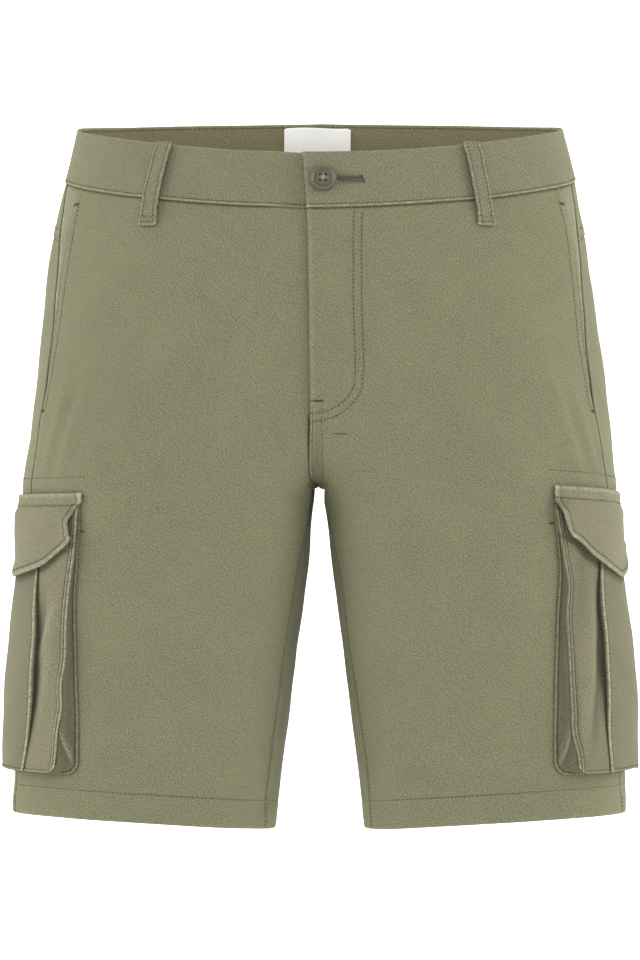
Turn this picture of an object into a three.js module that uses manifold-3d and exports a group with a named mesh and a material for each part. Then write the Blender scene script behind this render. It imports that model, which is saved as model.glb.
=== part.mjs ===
// Cargo shorts, filled out as if worn, in millimetres.
// +X is the wearer's left (the right of a front view), +Y is the back and +Z is up.
// The origin is the middle of the waist opening, at half the waistband's height at the sides.
//
// One smooth form describes the body of the garment: a table of level sections, each a rounded
// half outline from centre front, round the outside of the leg, to centre back. A place on it is
// a height and an arc length round the section, 0 on the outermost line, negative towards the
// front and positive towards the back. Every cut piece is a grid of such places, moved out or in.
import * as THREE from 'three'
import { mergeVertices } from 'three/addons/utils/BufferGeometryUtils.js'
import Module from 'manifold-3d'

const wasm = await Module()
wasm.setup()

// Cloth and seams
const SEAM = 0.3
const PANEL = 1.2
const BAND = 2.5
const LOOP = 1.6
const FLAP = 1.8
const HEM_DEPTH = 20
const HEM = 2.4

// Level sections. out: half width, centre: middle of the leg, front and back: depths,
// roundF, roundB and roundIn (the inside leg): 2 is an ellipse and more is squarer.
const SECTIONS = {
  columns: ['z', 'out', 'centre', 'front', 'back', 'roundF', 'roundB', 'roundIn'],
  rows: [
    [-475, 215.4, 123.5, 89, 90.5, 2.2, 2.2, 3.2],
    [-442, 213.9, 121.1, 90.5, 91.5, 2.2, 2.2, 3.2],
    [-412, 212.7, 118.7, 93, 93, 2.2, 2.2, 3.3],
    [-378, 211, 115.7, 96, 95, 2.2, 2.2, 3.4],
    [-344, 209, 112.6, 99.5, 97.5, 2.2, 2.2, 3.6],
    [-311, 207.2, 109.5, 102.5, 100.5, 2.25, 2.2, 3.8],
    [-275, 206.4, 107.2, 105.5, 105, 2.3, 2.2, 4.1],
    [-257, 206.4, 106.5, 107, 108, 2.3, 2.2, 4.3],
    [-241, 207, 105.7, 108.2, 111, 2.35, 2.2, 4.4],
    [-231.5, 207.3, 103.65, 109, 113.5, 2.4, 2.2, 4.4],
    [-222, 206.3, 98.6, 110, 116, 2.4, 2.2, 4.3],
    [-212, 204.9, 92, 110.5, 118, 2.4, 2.2, 4.1],
    [-200, 203.3, 82.5, 111, 121, 2.4, 2.2, 3.8],
    [-180, 201, 62, 111.5, 124, 2.35, 2.2, 3.3],
    [-157, 198.5, 35, 112, 126, 2.3, 2.2, 2.9],
    [-123, 194.6, 10, 112, 125, 2.25, 2.2, 2.6],
    [-90, 190.8, 1, 110, 120, 2.25, 2.2, 2.25],
    [-56, 185.8, 0, 106, 112, 2.25, 2.25, 2.25],
    [-36, 181.6, 0, 102, 106, 2.25, 2.25, 2.25],
    [-19, 178, 0, 98, 101, 2.25, 2.25, 2.25],
    [0, 173.2, 0, 94, 96, 2.25, 2.25, 2.25],
    [18, 169, 0, 90, 92, 2.25, 2.25, 2.25],
    [40, 164.5, 0, 88, 90, 2.25, 2.25, 2.25],
  ],
}
const FORK = -231.5

// Heights of the waistband's two edges and the yoke's lower edge, by the share of the way
// from the outermost line (0) to the centre front (-1) or the centre back (1).
const WAIST = {
  columns: ['share', 'top', 'seam', 'yoke'],
  rows: [
    [-1, -2.9, -41.8, -80],
    [-0.8, -1.9, -40.1, -78],
    [-0.6, 1.3, -36.8, -75],
    [-0.45, 5.2, -33.1, -71],
    [-0.3, 9.8, -28.2, -66],
    [-0.2, 13, -24.6, -62.6],
    [-0.1, 16.2, -20.8, -59],
    [0, 19.5, -17.5, -56],
    [0.3, 24, -13.6, -55.5],
    [0.6, 27, -10.8, -59],
    [1, 28.8, -9.2, -66],
  ],
}

// Arc of the side seam and of the slanted pocket opening, by height.
const SIDE = {
  columns: ['z', 'seam', 'opening'],
  rows: [
    [-475, -31, -31],
    [-440, -32.5, -32.5],
    [-360, -42, -42],
    [-300, -50, -50],
    [-234, -56.5, -56.5],
    [-202, -54, -54],
    [-181, -51.5, -52],
    [-171, -50.2, -51.6],
    [-133, -45.8, -50],
    [-89, -41.5, -48.6],
    [-62, -37, -47.6],
    [-36, -28, -46],
    [-10, -20, -45],
  ],
}
const OPENING_END = -181
const FACING_UNDER = 16

// The fly edge, by height: how far it lies past the centre front, towards the wearer's right.
const FLY = {
  columns: ['z', 'past', 'under'],
  rows: [
    [-475, 0, 0],
    [-226, 0, 0],
    [-204, 5.2, 0],
    [-186, 5, 0],
    [-174, 5, 5],
    [-125, 5.4, 6],
    [-43, 7.2, 7],
    [0, 9.8, 8],
    [40, 10, 8],
  ],
}
const FLY_EASE = 26
const FLY_LIFT = 0.8
const FLY_DROP = 1.8
const BAND_DROP = 3.2
const BAND_UNDERLAP = 26
const SHIELD = { past: 5, reach: 32, bottom: -184, curve: 26, underRight: 4.3, underLeft: 2 }

// The inside leg seam lies forward of the leg's innermost line, from the fork down.
const INSEAM = {
  columns: ['z', 'forward'],
  rows: [
    [-475, 50],
    [-433, 57],
    [-386, 62],
    [-337, 66],
    [-306, 69],
    [-231.5, 69],
  ],
}
const INSEAM_SETTLE = 14

// Hem: height at the outer side, its fall to the inner leg, and its fall to the back.
const HEMLINE = { out: -458.6, fall: 0.06, back: 0.03 }

const SIDES = [
  { name: 'left', sign: 1 },
  { name: 'right', sign: -1 },
]

const CLOTH = { olive: 0x88876a, band: 0x8c8b6e, flap: 0x98956f, face: 0x959171, gusset: 0x6d6d57 }

// A smooth curve through a table's column that never overshoots its rows.
function lookup(table, column, at) {
  const rows = table.rows
  const k = table.columns.indexOf(column)
  const last = rows.length - 1
  const t = Math.min(Math.max(at, rows[0][0]), rows[last][0])
  let i = 0
  while (i < last - 1 && t > rows[i + 1][0]) i++
  const run = (j) => rows[j + 1][0] - rows[j][0]
  const rise = (j) => (rows[j + 1][k] - rows[j][k]) / run(j)
  const slope = (j) => {
    if (j === 0) return rise(0)
    if (j === last) return rise(last - 1)
    if (rise(j - 1) * rise(j) <= 0) return 0
    const before = 2 * run(j) + run(j - 1)
    const after = run(j) + 2 * run(j - 1)
    return (before + after) / (before / rise(j - 1) + after / rise(j))
  }
  const h = run(i)
  const u = (t - rows[i][0]) / h
  const start = (2 * u ** 3 - 3 * u ** 2 + 1) * rows[i][k] + (u ** 3 - 2 * u ** 2 + u) * slope(i) * h
  const end = (3 * u ** 2 - 2 * u ** 3) * rows[i + 1][k] + (u ** 3 - u ** 2) * slope(i + 1) * h
  return start + end
}

const mix = (a, b, t) => a + (b - a) * t
const clamp01 = (t) => Math.min(Math.max(t, 0), 1)
const smooth = (t) => clamp01(t) ** 2 * (3 - 2 * clamp01(t))

// The outline of one half at a height, as arc lengths with their x and y.
const SAMPLES = 140
const sections = new Map()
function sectionAt(z) {
  const key = z.toFixed(3)
  if (sections.has(key)) return sections.get(key)
  const out = lookup(SECTIONS, 'out', z)
  const centre = lookup(SECTIONS, 'centre', z)
  const trace = (depth, round) => {
    const line = []
    for (let i = 0; i <= SAMPLES; i++) {
      const angle = (Math.PI * i) / SAMPLES
      const along = Math.cos(angle)
      const aside = Math.sin(angle)
      const power = 2 / (along < 0 ? lookup(SECTIONS, 'roundIn', z) : round)
      const x = centre + (out - centre) * Math.sign(along) * Math.abs(along) ** power
      line.push([x, depth * Math.abs(aside) ** power])
    }
    return line
  }
  const walk = (line) => {
    const arc = [0]
    for (let i = 1; i < line.length; i++) {
      arc.push(arc[i - 1] + Math.hypot(line[i][0] - line[i - 1][0], line[i][1] - line[i - 1][1]))
    }
    return { line, arc }
  }
  const front = walk(trace(-lookup(SECTIONS, 'front', z), lookup(SECTIONS, 'roundF', z)))
  const back = walk(trace(lookup(SECTIONS, 'back', z), lookup(SECTIONS, 'roundB', z)))
  const leg = z <= FORK
  const reach = (half) => {
    if (leg) return half.arc[SAMPLES]
    let i = 1
    while (i < SAMPLES && half.line[i][0] > 0) i++
    const t = half.line[i - 1][0] / (half.line[i - 1][0] - half.line[i][0])
    return mix(half.arc[i - 1], half.arc[i], Math.min(t, 1))
  }
  const made = { front, back, leg, first: -reach(front), last: reach(back) }
  sections.set(key, made)
  return made
}

function along(half, arc) {
  let low = 0
  let high = half.arc.length - 1
  while (high - low > 1) {
    const middle = (low + high) >> 1
    if (half.arc[middle] <= arc) low = middle
    else high = middle
  }
  const t = (arc - half.arc[low]) / (half.arc[high] - half.arc[low])
  return [mix(half.line[low][0], half.line[high][0], t), mix(half.line[low][1], half.line[high][1], t)]
}

// A place on the wearer's left half. Past the centre front or back it runs on over the other
// half, and below the fork it runs on round the leg.
function placeAt(s, z) {
  const section = sectionAt(z)
  const round = section.last - section.first
  let arc = s
  let turned = 1
  if (section.leg) {
    if (arc < section.first) arc += round
    if (arc > section.last) arc -= round
  } else if (arc < section.first) {
    arc = 2 * section.first - arc
    turned = -1
  } else if (arc > section.last) {
    arc = 2 * section.last - arc
    turned = -1
  }
  const [x, y] = arc < 0 ? along(section.front, -arc) : along(section.back, arc)
  return new THREE.Vector3(turned * x, y, z)
}

const STEP = 0.6
function outwardAt(s, z) {
  const round = placeAt(s + STEP, z).sub(placeAt(s - STEP, z))
  const up = placeAt(s, z + STEP).sub(placeAt(s, z - STEP))
  return round.cross(up).normalize()
}

// A point moved out from the form by a distance, on the left or right half.
function lift(sign, s, z, distance) {
  const point = placeAt(s, z).addScaledVector(outwardAt(s, z), distance)
  return new THREE.Vector3(sign * point.x, point.y, point.z)
}

const waistHeight = (edge, s, z) => {
  const section = sectionAt(z)
  const share = s < 0 ? s / -section.first : s / section.last
  return lookup(WAIST, edge, Math.min(Math.max(share, -1), 1))
}

const hemHeight = (s, z) => {
  const point = placeAt(s, z)
  const out = lookup(SECTIONS, 'out', z)
  return HEMLINE.out - HEMLINE.fall * (out - point.x) - HEMLINE.back * point.y
}

const inseamAt = (z) => lookup(INSEAM, 'forward', z) * (1 - Math.exp(-(FORK - z) / INSEAM_SETTLE))

// The closed wall between two faces of a grid of points.
function wall(grid) {
  const rows = grid.length
  const columns = grid[0].length
  const positions = []
  for (const face of ['outer', 'inner']) {
    for (const row of grid) for (const cell of row) positions.push(...cell[face].toArray())
  }
  const at = (face, i, j) => (face * rows + i) * columns + j
  const index = []
  const quad = (a, b, c, d) => index.push(a, b, c, a, c, d)
  for (let i = 0; i < rows - 1; i++) {
    for (let j = 0; j < columns - 1; j++) {
      quad(at(0, i, j), at(0, i, j + 1), at(0, i + 1, j + 1), at(0, i + 1, j))
      quad(at(1, i, j), at(1, i + 1, j), at(1, i + 1, j + 1), at(1, i, j + 1))
    }
  }
  for (let j = 0; j < columns - 1; j++) {
    quad(at(0, 0, j), at(1, 0, j), at(1, 0, j + 1), at(0, 0, j + 1))
    quad(at(0, rows - 1, j), at(0, rows - 1, j + 1), at(1, rows - 1, j + 1), at(1, rows - 1, j))
  }
  for (let i = 0; i < rows - 1; i++) {
    quad(at(0, i, 0), at(0, i + 1, 0), at(1, i + 1, 0), at(1, i, 0))
    quad(at(0, i, columns - 1), at(1, i, columns - 1), at(1, i + 1, columns - 1), at(0, i + 1, columns - 1))
  }
  return facingOut(positions, index)
}

function facingOut(positions, index) {
  const corner = (i) => new THREE.Vector3().fromArray(positions, 3 * index[i])
  let volume = 0
  for (let i = 0; i < index.length; i += 3) volume += corner(i).dot(corner(i + 1).cross(corner(i + 2)))
  if (volume < 0) for (let i = 0; i < index.length; i += 3) index.splice(i, 2, index[i + 1], index[i])
  const geometry = new THREE.BufferGeometry()
  geometry.setAttribute('position', new THREE.Float32BufferAttribute(positions, 3))
  geometry.setIndex(index)
  geometry.computeVertexNormals()
  return geometry
}

const shorts = new THREE.Group()
function add(name, geometry, colour, roughness = 0.9) {
  const material = new THREE.MeshStandardMaterial({ color: colour, roughness, metalness: 0 })
  const mesh = new THREE.Mesh(geometry, material)
  mesh.name = name
  shorts.add(mesh)
  return mesh
}

// Builds a piece from its columns (0 to 1 across), its rows, and four rules: the height of a row
// at an arc, the two end arcs at a height, and the outer and inner distances from the form.
function piece(sign, { columns, rows, height, ends, outer, inner }) {
  return wall(
    rows.map((row) =>
      columns.map((across) => {
        let z = height(row, across, 0, row.start ?? -60)
        let s = 0
        for (let pass = 0; pass < 7; pass++) {
          const [from, to] = ends(z)
          s = mix(from, to, across)
          z = height(row, across, s, z)
        }
        return {
          outer: lift(sign, s, z, outer(s, z, row, across)),
          inner: lift(sign, s, z, inner(s, z, row, across)),
        }
      }),
    ),
  )
}

const evenly = (count) => Array.from({ length: count + 1 }, (_, i) => i / count)

// Rows of a leg panel: a depth below its top seam, then level rows with a height at the side and
// one at the crotch and inseam, where they crowd round the fork, then rows counted up from the hem.
const levels = (pairs) => pairs.map(([side, inside]) => ({ side, inside, start: side }))
const HEM_ROWS = [
  { aboveHem: HEM_DEPTH + 0.8, start: -440 },
  { aboveHem: HEM_DEPTH, folded: true, start: -441 },
  { aboveHem: HEM_DEPTH / 2, folded: true, start: -450 },
  { aboveHem: 0, folded: true, start: -460 },
]
const LOWER_LEVELS = [
  [-196, -198],
  [-207, -210],
  [-216, -219],
  [-223, -225],
  [-230, -228.6],
  [-236, -230.6],
  [-242, -231.5],
  [-250, -236],
  [-262, -246],
  [-280, -265],
  [-304, -292],
  [-330, -320],
  [-358, -350],
  [-386, -382],
  [-414, -412],
]
const FRONT_ROWS = [
  { below: SEAM, start: -30 },
  { below: 9, start: -40 },
  ...levels([
    [-58, -64],
    [-80, -86],
    [-104, -110],
    [-130, -134],
    [-154, -156],
    [-174, -174],
    [-185, -186],
  ]),
  ...levels(LOWER_LEVELS),
  ...HEM_ROWS,
]
const BACK_ROWS = [
  { below: SEAM, start: -60 },
  { below: 10, start: -70 },
  ...levels([
    [-84, -90],
    [-106, -110],
    [-130, -132],
    [-154, -154],
    [-176, -176],
  ]),
  ...levels(LOWER_LEVELS),
  ...HEM_ROWS,
]

const rowHeight = (topEdge) => (row, across, s, z) => {
  if (row.below !== undefined) return waistHeight(topEdge, s, z) - row.below
  if (row.aboveHem !== undefined) return hemHeight(s, z) + row.aboveHem
  return mix(row.side, row.inside, smooth(across))
}

const flyPast = (z) => lookup(FLY, 'past', z)
const flyUnder = (z) => lookup(FLY, 'under', z)
// How near a place is to the fly edge, from 0 well away from it to 1 on it.
const nearFly = (s, z, edge) => smooth(1 - Math.abs(s - edge) / FLY_EASE) * smooth((z - FORK) / 45 - 0.2)

function frontPanel({ sign }) {
  const inner = (z) => {
    const section = sectionAt(z)
    if (section.leg) return section.first + inseamAt(z) + SEAM / 2
    if (sign > 0) return section.first - flyPast(z) + SEAM / 2
    return section.first + flyPast(z) - flyUnder(z) + SEAM / 2
  }
  const shift = (s, z) => {
    const near = nearFly(s, z, inner(z))
    return sign > 0 ? FLY_LIFT * near : -FLY_DROP * near
  }
  return piece(sign, {
    columns: [0, 0.035, 0.08, 0.15, 0.25, 0.36, 0.48, 0.6, 0.7, 0.78, 0.85, 0.93, 1],
    rows: FRONT_ROWS,
    height: rowHeight('seam'),
    ends: (z) => [lookup(SIDE, z > OPENING_END ? 'opening' : 'seam', z) - SEAM / 2, inner(z)],
    outer: (s, z) => shift(s, z),
    inner: (s, z, row) => shift(s, z) - (row.folded ? HEM : PANEL),
  })
}

function backPanel({ sign }) {
  const inner = (z) => {
    const section = sectionAt(z)
    return section.leg ? section.last + inseamAt(z) - SEAM / 2 : section.last - SEAM / 2
  }
  return piece(sign, {
    columns: [0, 0.06, 0.13, 0.2, 0.27, 0.34, 0.41, 0.48, 0.55, 0.61, 0.67, 0.73, 0.79, 0.86, 0.93, 1],
    rows: BACK_ROWS,
    height: rowHeight('yoke'),
    ends: (z) => [lookup(SIDE, 'seam', z) + SEAM / 2, inner(z)],
    outer: () => 0,
    inner: (s, z, row) => -(row.folded ? HEM : PANEL),
  })
}

function yoke({ sign }) {
  return piece(sign, {
    columns: evenly(10),
    rows: evenly(4).map((share) => ({ share, start: -30 })),
    height: (row, across, s, z) => mix(waistHeight('seam', s, z) - SEAM, waistHeight('yoke', s, z), row.share),
    ends: (z) => [lookup(SIDE, 'seam', z) + SEAM / 2, sectionAt(z).last - SEAM / 2],
    outer: () => 0,
    inner: () => -PANEL,
  })
}

// The facing shows between the pocket opening and the side seam, and runs in under the front.
function pocketFacing({ sign }) {
  const depth = (s, z) => {
    const edge = lookup(SIDE, 'opening', z)
    const seam = lookup(SIDE, 'seam', z)
    return mix(PANEL + 0.9, 0.5, smooth((s - edge - 1) / Math.max(seam - edge - 1, 1)))
  }
  return piece(sign, {
    columns: [0, 0.3, 0.55, 0.7, 0.85, 1],
    rows: evenly(10).map((share) => ({ share, start: -40 })),
    height: (row, across, s, z) => mix(waistHeight('seam', s, z) - SEAM, OPENING_END + 12, row.share),
    ends: (z) => [lookup(SIDE, 'opening', z) - FACING_UNDER, lookup(SIDE, 'seam', z) - SEAM],
    outer: (s, z) => -depth(s, z),
    inner: (s, z) => -depth(s, z) - PANEL,
  })
}

// Each waistband half runs from centre back. The wearer's left one ends at the fly edge, on top,
// and the right one runs on beneath it to carry the button.
const BAND_OUT = 0.8
function waistband({ sign }) {
  const end = (z) => {
    const section = sectionAt(z)
    if (sign > 0) return section.first - flyPast(z) + SEAM / 2
    return section.first + flyPast(z) - BAND_UNDERLAP
  }
  const shift = (s, z) => {
    if (sign > 0) return FLY_LIFT * nearFly(s, z, end(z))
    const edge = sectionAt(z).first + flyPast(z) + 2
    return -BAND_DROP * smooth((edge + FLY_EASE - s) / FLY_EASE)
  }
  return piece(sign, {
    columns: [0, 0.045, 0.09, 0.14, 0.2, 0.27, 0.34, 0.42, 0.5, 0.58, 0.66, 0.73, 0.8, 0.87, 0.91, 0.95, 1]
      .map((share) => 1 - share)
      .reverse(),
    rows: [
      { share: 1, start: -30 },
      { share: 0.5, start: 0 },
      { share: 0.05, start: 18 },
      { share: 0, rounded: true, start: 20 },
    ],
    height: (row, across, s, z) => mix(waistHeight('top', s, z), waistHeight('seam', s, z), row.share),
    ends: (z) => [sectionAt(z).last - SEAM / 2, end(z)],
    outer: (s, z, row) => BAND_OUT + shift(s, z) - (row.rounded ? 0.7 : 0),
    inner: (s, z, row) => BAND_OUT + shift(s, z) - BAND + (row.rounded ? 0.7 : 0),
  })
}

// The fly shield is the plain J-shaped layer inside the fly.
function flyShield() {
  const reach = (z) => {
    const up = clamp01((z - SHIELD.bottom) / SHIELD.curve)
    return mix(-SHIELD.past + 6, SHIELD.reach, Math.sqrt(1 - (1 - up) ** 2))
  }
  const depth = (s, z) => mix(SHIELD.underRight, SHIELD.underLeft, smooth((s - sectionAt(z).first - 3) / 14))
  return piece(1, {
    columns: evenly(4),
    rows: [0, 0.2, 0.4, 0.6, 0.78, 0.88, 0.95, 1].map((share) => ({ share, start: -60 })),
    height: (row, across, s, z) => mix(waistHeight('seam', s, z) - 1, SHIELD.bottom, row.share),
    ends: (z) => [sectionAt(z).first - SHIELD.past, sectionAt(z).first + reach(z)],
    outer: (s, z) => -depth(s, z),
    inner: (s, z) => -depth(s, z) - PANEL,
  })
}

// Belt loops: strips down over the waistband, sewn at both ends and a little proud between.
const LOOP_WIDTH = 12
const LOOP_PROUD = 2.4
const LOOPS = {
  columns: ['name', 'sign', 'share at the top', 'share at the foot', 'above the band'],
  rows: [
    ['front_left', 1, -0.513, -0.503, 0.8],
    ['front_right', -1, -0.513, -0.503, 0.8],
    ['back_left', 1, 0.52, 0.52, -0.3],
    ['back_right', -1, 0.52, 0.52, -0.3],
    ['centre_back', 1, 1, 1, -0.3],
  ],
}
const LOOP_BELOW = 19
const LOOP_SEWN = 0.05
const LOOP_SEAT = 0.4
function beltLoop(sign, topShare, footShare, above) {
  const stations = [0, LOOP_SEWN, 0.11, 0.3, 0.55, 0.8, 0.92, 1]
  const arcAt = (z, share) => {
    const section = sectionAt(z)
    return share < 0 ? -share * section.first : share * section.last
  }
  return wall(
    stations.map((down) => {
      let z = 0
      let s = 0
      for (let pass = 0; pass < 7; pass++) {
        s = arcAt(z, mix(topShare, footShare, down))
        z = mix(waistHeight('top', s, z) + above, waistHeight('seam', s, z) - LOOP_BELOW, down)
      }
      const overBand = z > waistHeight('seam', s, z) - 1.5
      const onBand = BAND_OUT + LOOP_SEAT
      const seat = overBand ? onBand : mix(LOOP_SEAT, onBand, clamp01((1 - down) * 6))
      const free = clamp01((down - LOOP_SEWN) / (1 - 2 * LOOP_SEWN))
      const off = seat + (free > 0 && free < 1 ? LOOP_PROUD * Math.sin(Math.PI * free) ** 0.6 : 0)
      return [-0.5, 0, 0.5].map((aside) => ({
        outer: lift(sign, s + aside * LOOP_WIDTH, z, off + LOOP),
        inner: lift(sign, s + aside * LOOP_WIDTH, z, off),
      }))
    }),
  )
}

// Button: a turned disc with a raised rim and four thread holes.
const BUTTON = { x: 4.2, height: -21.8, radius: 9, thick: 3, rim: 1.6, dish: 0.9, hole: 0.9, spread: 2 }
function button() {
  const { radius, thick, rim, dish } = BUTTON
  const profile = [
    [0, 0],
    [radius - 0.8, 0],
    [radius, 0.8],
    [radius, thick - 0.6],
    [radius - 0.6, thick],
    [radius - rim, thick],
    [radius - rim - 0.7, thick - dish],
    [0, thick - dish],
  ].map(([x, y]) => new THREE.Vector2(x, y))
  let disc = solid(new THREE.LatheGeometry(profile, 28))
  for (const [dx, dz] of [[1, 1], [1, -1], [-1, 1], [-1, -1]]) {
    const hole = new THREE.CylinderGeometry(BUTTON.hole, BUTTON.hole, thick * 3, 10)
    hole.translate(dx * BUTTON.spread, 0, dz * BUTTON.spread)
    disc = disc.subtract(solid(hole))
  }
  return fromSolid(disc)
}

function solid(geometry) {
  const plain = geometry.clone()
  plain.deleteAttribute('normal')
  plain.deleteAttribute('uv')
  const merged = mergeVertices(plain, 1e-4)
  const triVerts = Uint32Array.from(merged.index.array)
  const vertProperties = Float32Array.from(merged.attributes.position.array)
  return new wasm.Manifold(new wasm.Mesh({ numProp: 3, vertProperties, triVerts }))
}

function fromSolid(body) {
  const mesh = body.getMesh()
  const geometry = new THREE.BufferGeometry()
  geometry.setAttribute('position', new THREE.Float32BufferAttribute(Array.from(mesh.vertProperties), 3))
  geometry.setIndex(Array.from(mesh.triVerts))
  geometry.computeVertexNormals()
  return geometry
}

// Label: a plain blank patch inside the back of the waistband.
const LABEL = { centre: -4, width: 48, height: 23, below: 3, thick: 1 }
function label() {
  const back = (z) => sectionAt(z).last
  return piece(1, {
    columns: evenly(4),
    rows: [0, 0.5, 1].map((share) => ({ share, start: 20 })),
    height: (row, across, s, z) => waistHeight('top', s, z) - LABEL.below - LABEL.height * row.share,
    ends: (z) => [back(z) - LABEL.centre - LABEL.width / 2, back(z) - LABEL.centre + LABEL.width / 2],
    outer: () => BAND_OUT - BAND - 0.5,
    inner: () => BAND_OUT - BAND - 0.5 - LABEL.thick,
  })
}

// Cargo pocket on the side of the leg: a gusset strip stands on the leg round three sides and
// carries the face, which has a wide box pleat down its middle. A pointed flap closes it.
const POCKET = { middle: -36, back: 33.5, bottom: -429, corner: 7 }
// By height, how far round the leg the front edge is: the gusset's foot and the face's rim.
const POCKET_FRONT = {
  left: {
    columns: ['z', 'foot', 'rim'],
    rows: [
      [-430, -105.5, -91],
      [-420, -105.8, -93.2],
      [-390, -106.2, -97.9],
      [-336, -105.9, -100.2],
      [-288, -105, -102.2],
      [-271, -107, -105.5],
      [-247, -111.2, -110],
    ],
  },
  right: {
    columns: ['z', 'foot', 'rim'],
    rows: [
      [-430, -103.9, -89.4],
      [-413, -104.1, -92.1],
      [-382, -104.2, -96.2],
      [-346, -103.2, -98.9],
      [-312, -103.4, -101.2],
      [-281, -107.2, -106],
      [-247, -111.8, -110.6],
    ],
  },
}
// By height: how far the back rim stands in from the gusset's foot, and how far the face stands
// off the leg at its edges and at its middle.
const STAND = {
  columns: ['z', 'inset', 'edge', 'middle'],
  rows: [
    [-430, 11.5, 9.6, 4.4],
    [-412, 10.5, 9.2, 5.2],
    [-378, 7.5, 7.8, 5.8],
    [-345, 5, 6.6, 5],
    [-311, 3.4, 5, 3.4],
    [-270, 2.4, 3, 1.2],
    [-247, 2, 1.8, 0.6],
  ],
}
const FACE_TOP = -248.5
const PLEAT = 1
const PLEAT_SHARE = 0.48
const standOff = (across, z) => {
  const share = clamp01(Math.abs(across))
  return mix(lookup(STAND, 'middle', z), lookup(STAND, 'edge', z), share ** 2)
}

const pocketEnds = (name, z) => ({
  foot: [lookup(POCKET_FRONT[name], 'foot', z), POCKET.back],
  rim: [lookup(POCKET_FRONT[name], 'rim', z), POCKET.back - lookup(STAND, 'inset', z)],
})

function pocketFace({ name, sign }) {
  const pleat = PLEAT_SHARE
  const step = 0.012
  const half = [0, pleat / 2, pleat - step, pleat, 0.66, 0.85, 1]
  const columns = [...half.slice(1).map((across) => -across).reverse(), ...half]
  return piece(sign, {
    columns: columns.map((across) => (across + 1) / 2),
    rows: evenly(8).map((share) => ({ share, start: FACE_TOP })),
    height: (row, across) => mix(FACE_TOP, bottomAt(2 * across - 1), row.share),
    ends: (z) => pocketEnds(name, z).rim,
    outer: (s, z, row, across) => {
      const raised = Math.abs(2 * across - 1) < pleat - step / 2 ? PLEAT : 0
      return standOff(2 * across - 1, z) + SEAM + PANEL + raised
    },
    inner: (s, z, row, across) => standOff(2 * across - 1, z) + SEAM,
  })
}

// The face's lower edge, rounded up at its two corners.
const bottomAt = (across) => {
  const beyond = clamp01((Math.abs(across) - 0.85) / 0.15)
  return POCKET.bottom + 1.5 + POCKET.corner * (1 - Math.sqrt(1 - beyond ** 2 * 0.96))
}

const FOOT = 0.5
const FACE_CLEAR = 0.3
const SOLE_RISE = 1.7
const SOLE_REACH = 0.93
function gusset({ name, sign }) {
  const sideEnd = POCKET.bottom + POCKET.corner
  const side = (across) => evenly(9).map((share) => ({ across, z: mix(FACE_TOP, sideEnd, share) }))
  const sole = evenly(12).map((share) => ({
    across: mix(-SOLE_REACH, SOLE_REACH, share),
    z: POCKET.bottom,
    sole: true,
  }))
  return wall(
    [...side(-1), ...sole, ...side(1).reverse()].map((station) => {
      const { across, z } = station
      const top = standOff(across, z) - FACE_CLEAR
      const { foot, rim } = pocketEnds(name, z)
      const place = (rise, within) => {
        const front = mix(foot[0], rim[0], rise) + within
        const back = mix(foot[1], rim[1], rise) - within
        const up = station.sole ? SOLE_RISE * rise + within : 0
        return lift(sign, mix(front, back, (across + 1) / 2), z + up, mix(FOOT, top, rise))
      }
      return [0, 0.5, 1].map((rise) => ({ outer: place(rise, 0), inner: place(rise, PANEL) }))
    }),
  )
}

// Each flap: the height of its top and its tilt, its front edge by height, and how far its lower
// edge drops below its ends, by the place across from -1 in front to 1 behind.
const FLAPS = {
  left: {
    top: -234,
    tilt: 3.8,
    drop: 27,
    front: {
      columns: ['z', 's'],
      rows: [
        [-266, -102.6],
        [-258, -104.6],
        [-250, -107.3],
        [-239, -112.8],
        [-230, -113.2],
      ],
    },
    shape: {
      columns: ['across', 'drop'],
      rows: [
        [-0.9, 0],
        [-0.79, 0.13],
        [-0.6, 0.51],
        [-0.13, 0.97],
        [0, 1],
        [0.6, 0.6],
        [1, 0],
      ],
    },
  },
  right: {
    top: -236.5,
    tilt: 1.3,
    drop: 24.3,
    front: {
      columns: ['z', 's'],
      rows: [
        [-268, -108.2],
        [-262, -106],
        [-255, -105.2],
        [-248, -108.6],
        [-242, -112.6],
        [-236, -114.6],
      ],
    },
    shape: {
      columns: ['across', 'drop'],
      rows: [
        [-0.96, 0],
        [-0.78, 0.35],
        [-0.59, 0.68],
        [-0.09, 0.99],
        [0, 1],
        [0.6, 0.64],
        [1, 0],
      ],
    },
  },
}
const FLAP_HALF = 75
const FLAP_END = 33
const FLAP_LIFT = 2.5
const FLAP_CLEAR = 0.9
const FLAP_STEP = 9
function flap({ name, sign }) {
  const { top, tilt, drop, front, shape } = FLAPS[name]
  const acrossAt = (s) => (s - POCKET.middle) / FLAP_HALF
  const upper = (across) => top - tilt * across
  const lower = (across) => upper(across) - FLAP_END - drop * lookup(shape, 'drop', across)
  const off = (s, z) => {
    const across = acrossAt(s)
    const under = Math.min(z, FACE_TOP)
    const { rim } = pocketEnds(name, under)
    const over = standOff((2 * (s - rim[0])) / (rim[1] - rim[0]) - 1, under) + SEAM + PANEL + PLEAT
    const end = FLAP_LIFT * smooth((Math.abs(across) - 0.75) / 0.25)
    return mix(FOOT, over + FLAP_CLEAR + end, smooth((upper(across) - z) / FLAP_STEP))
  }
  return piece(sign, {
    columns: evenly(10),
    rows: [0, 0.14, 0.28, 0.44, 0.6, 0.8, 1].map((share) => ({ share, start: top })),
    height: (row, across, s) => mix(upper(acrossAt(s)), lower(acrossAt(s)), row.share),
    ends: (z) => [lookup(front, 's', z), POCKET.middle + FLAP_HALF],
    outer: (s, z) => off(s, z) + FLAP,
    inner: off,
  })
}

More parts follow.
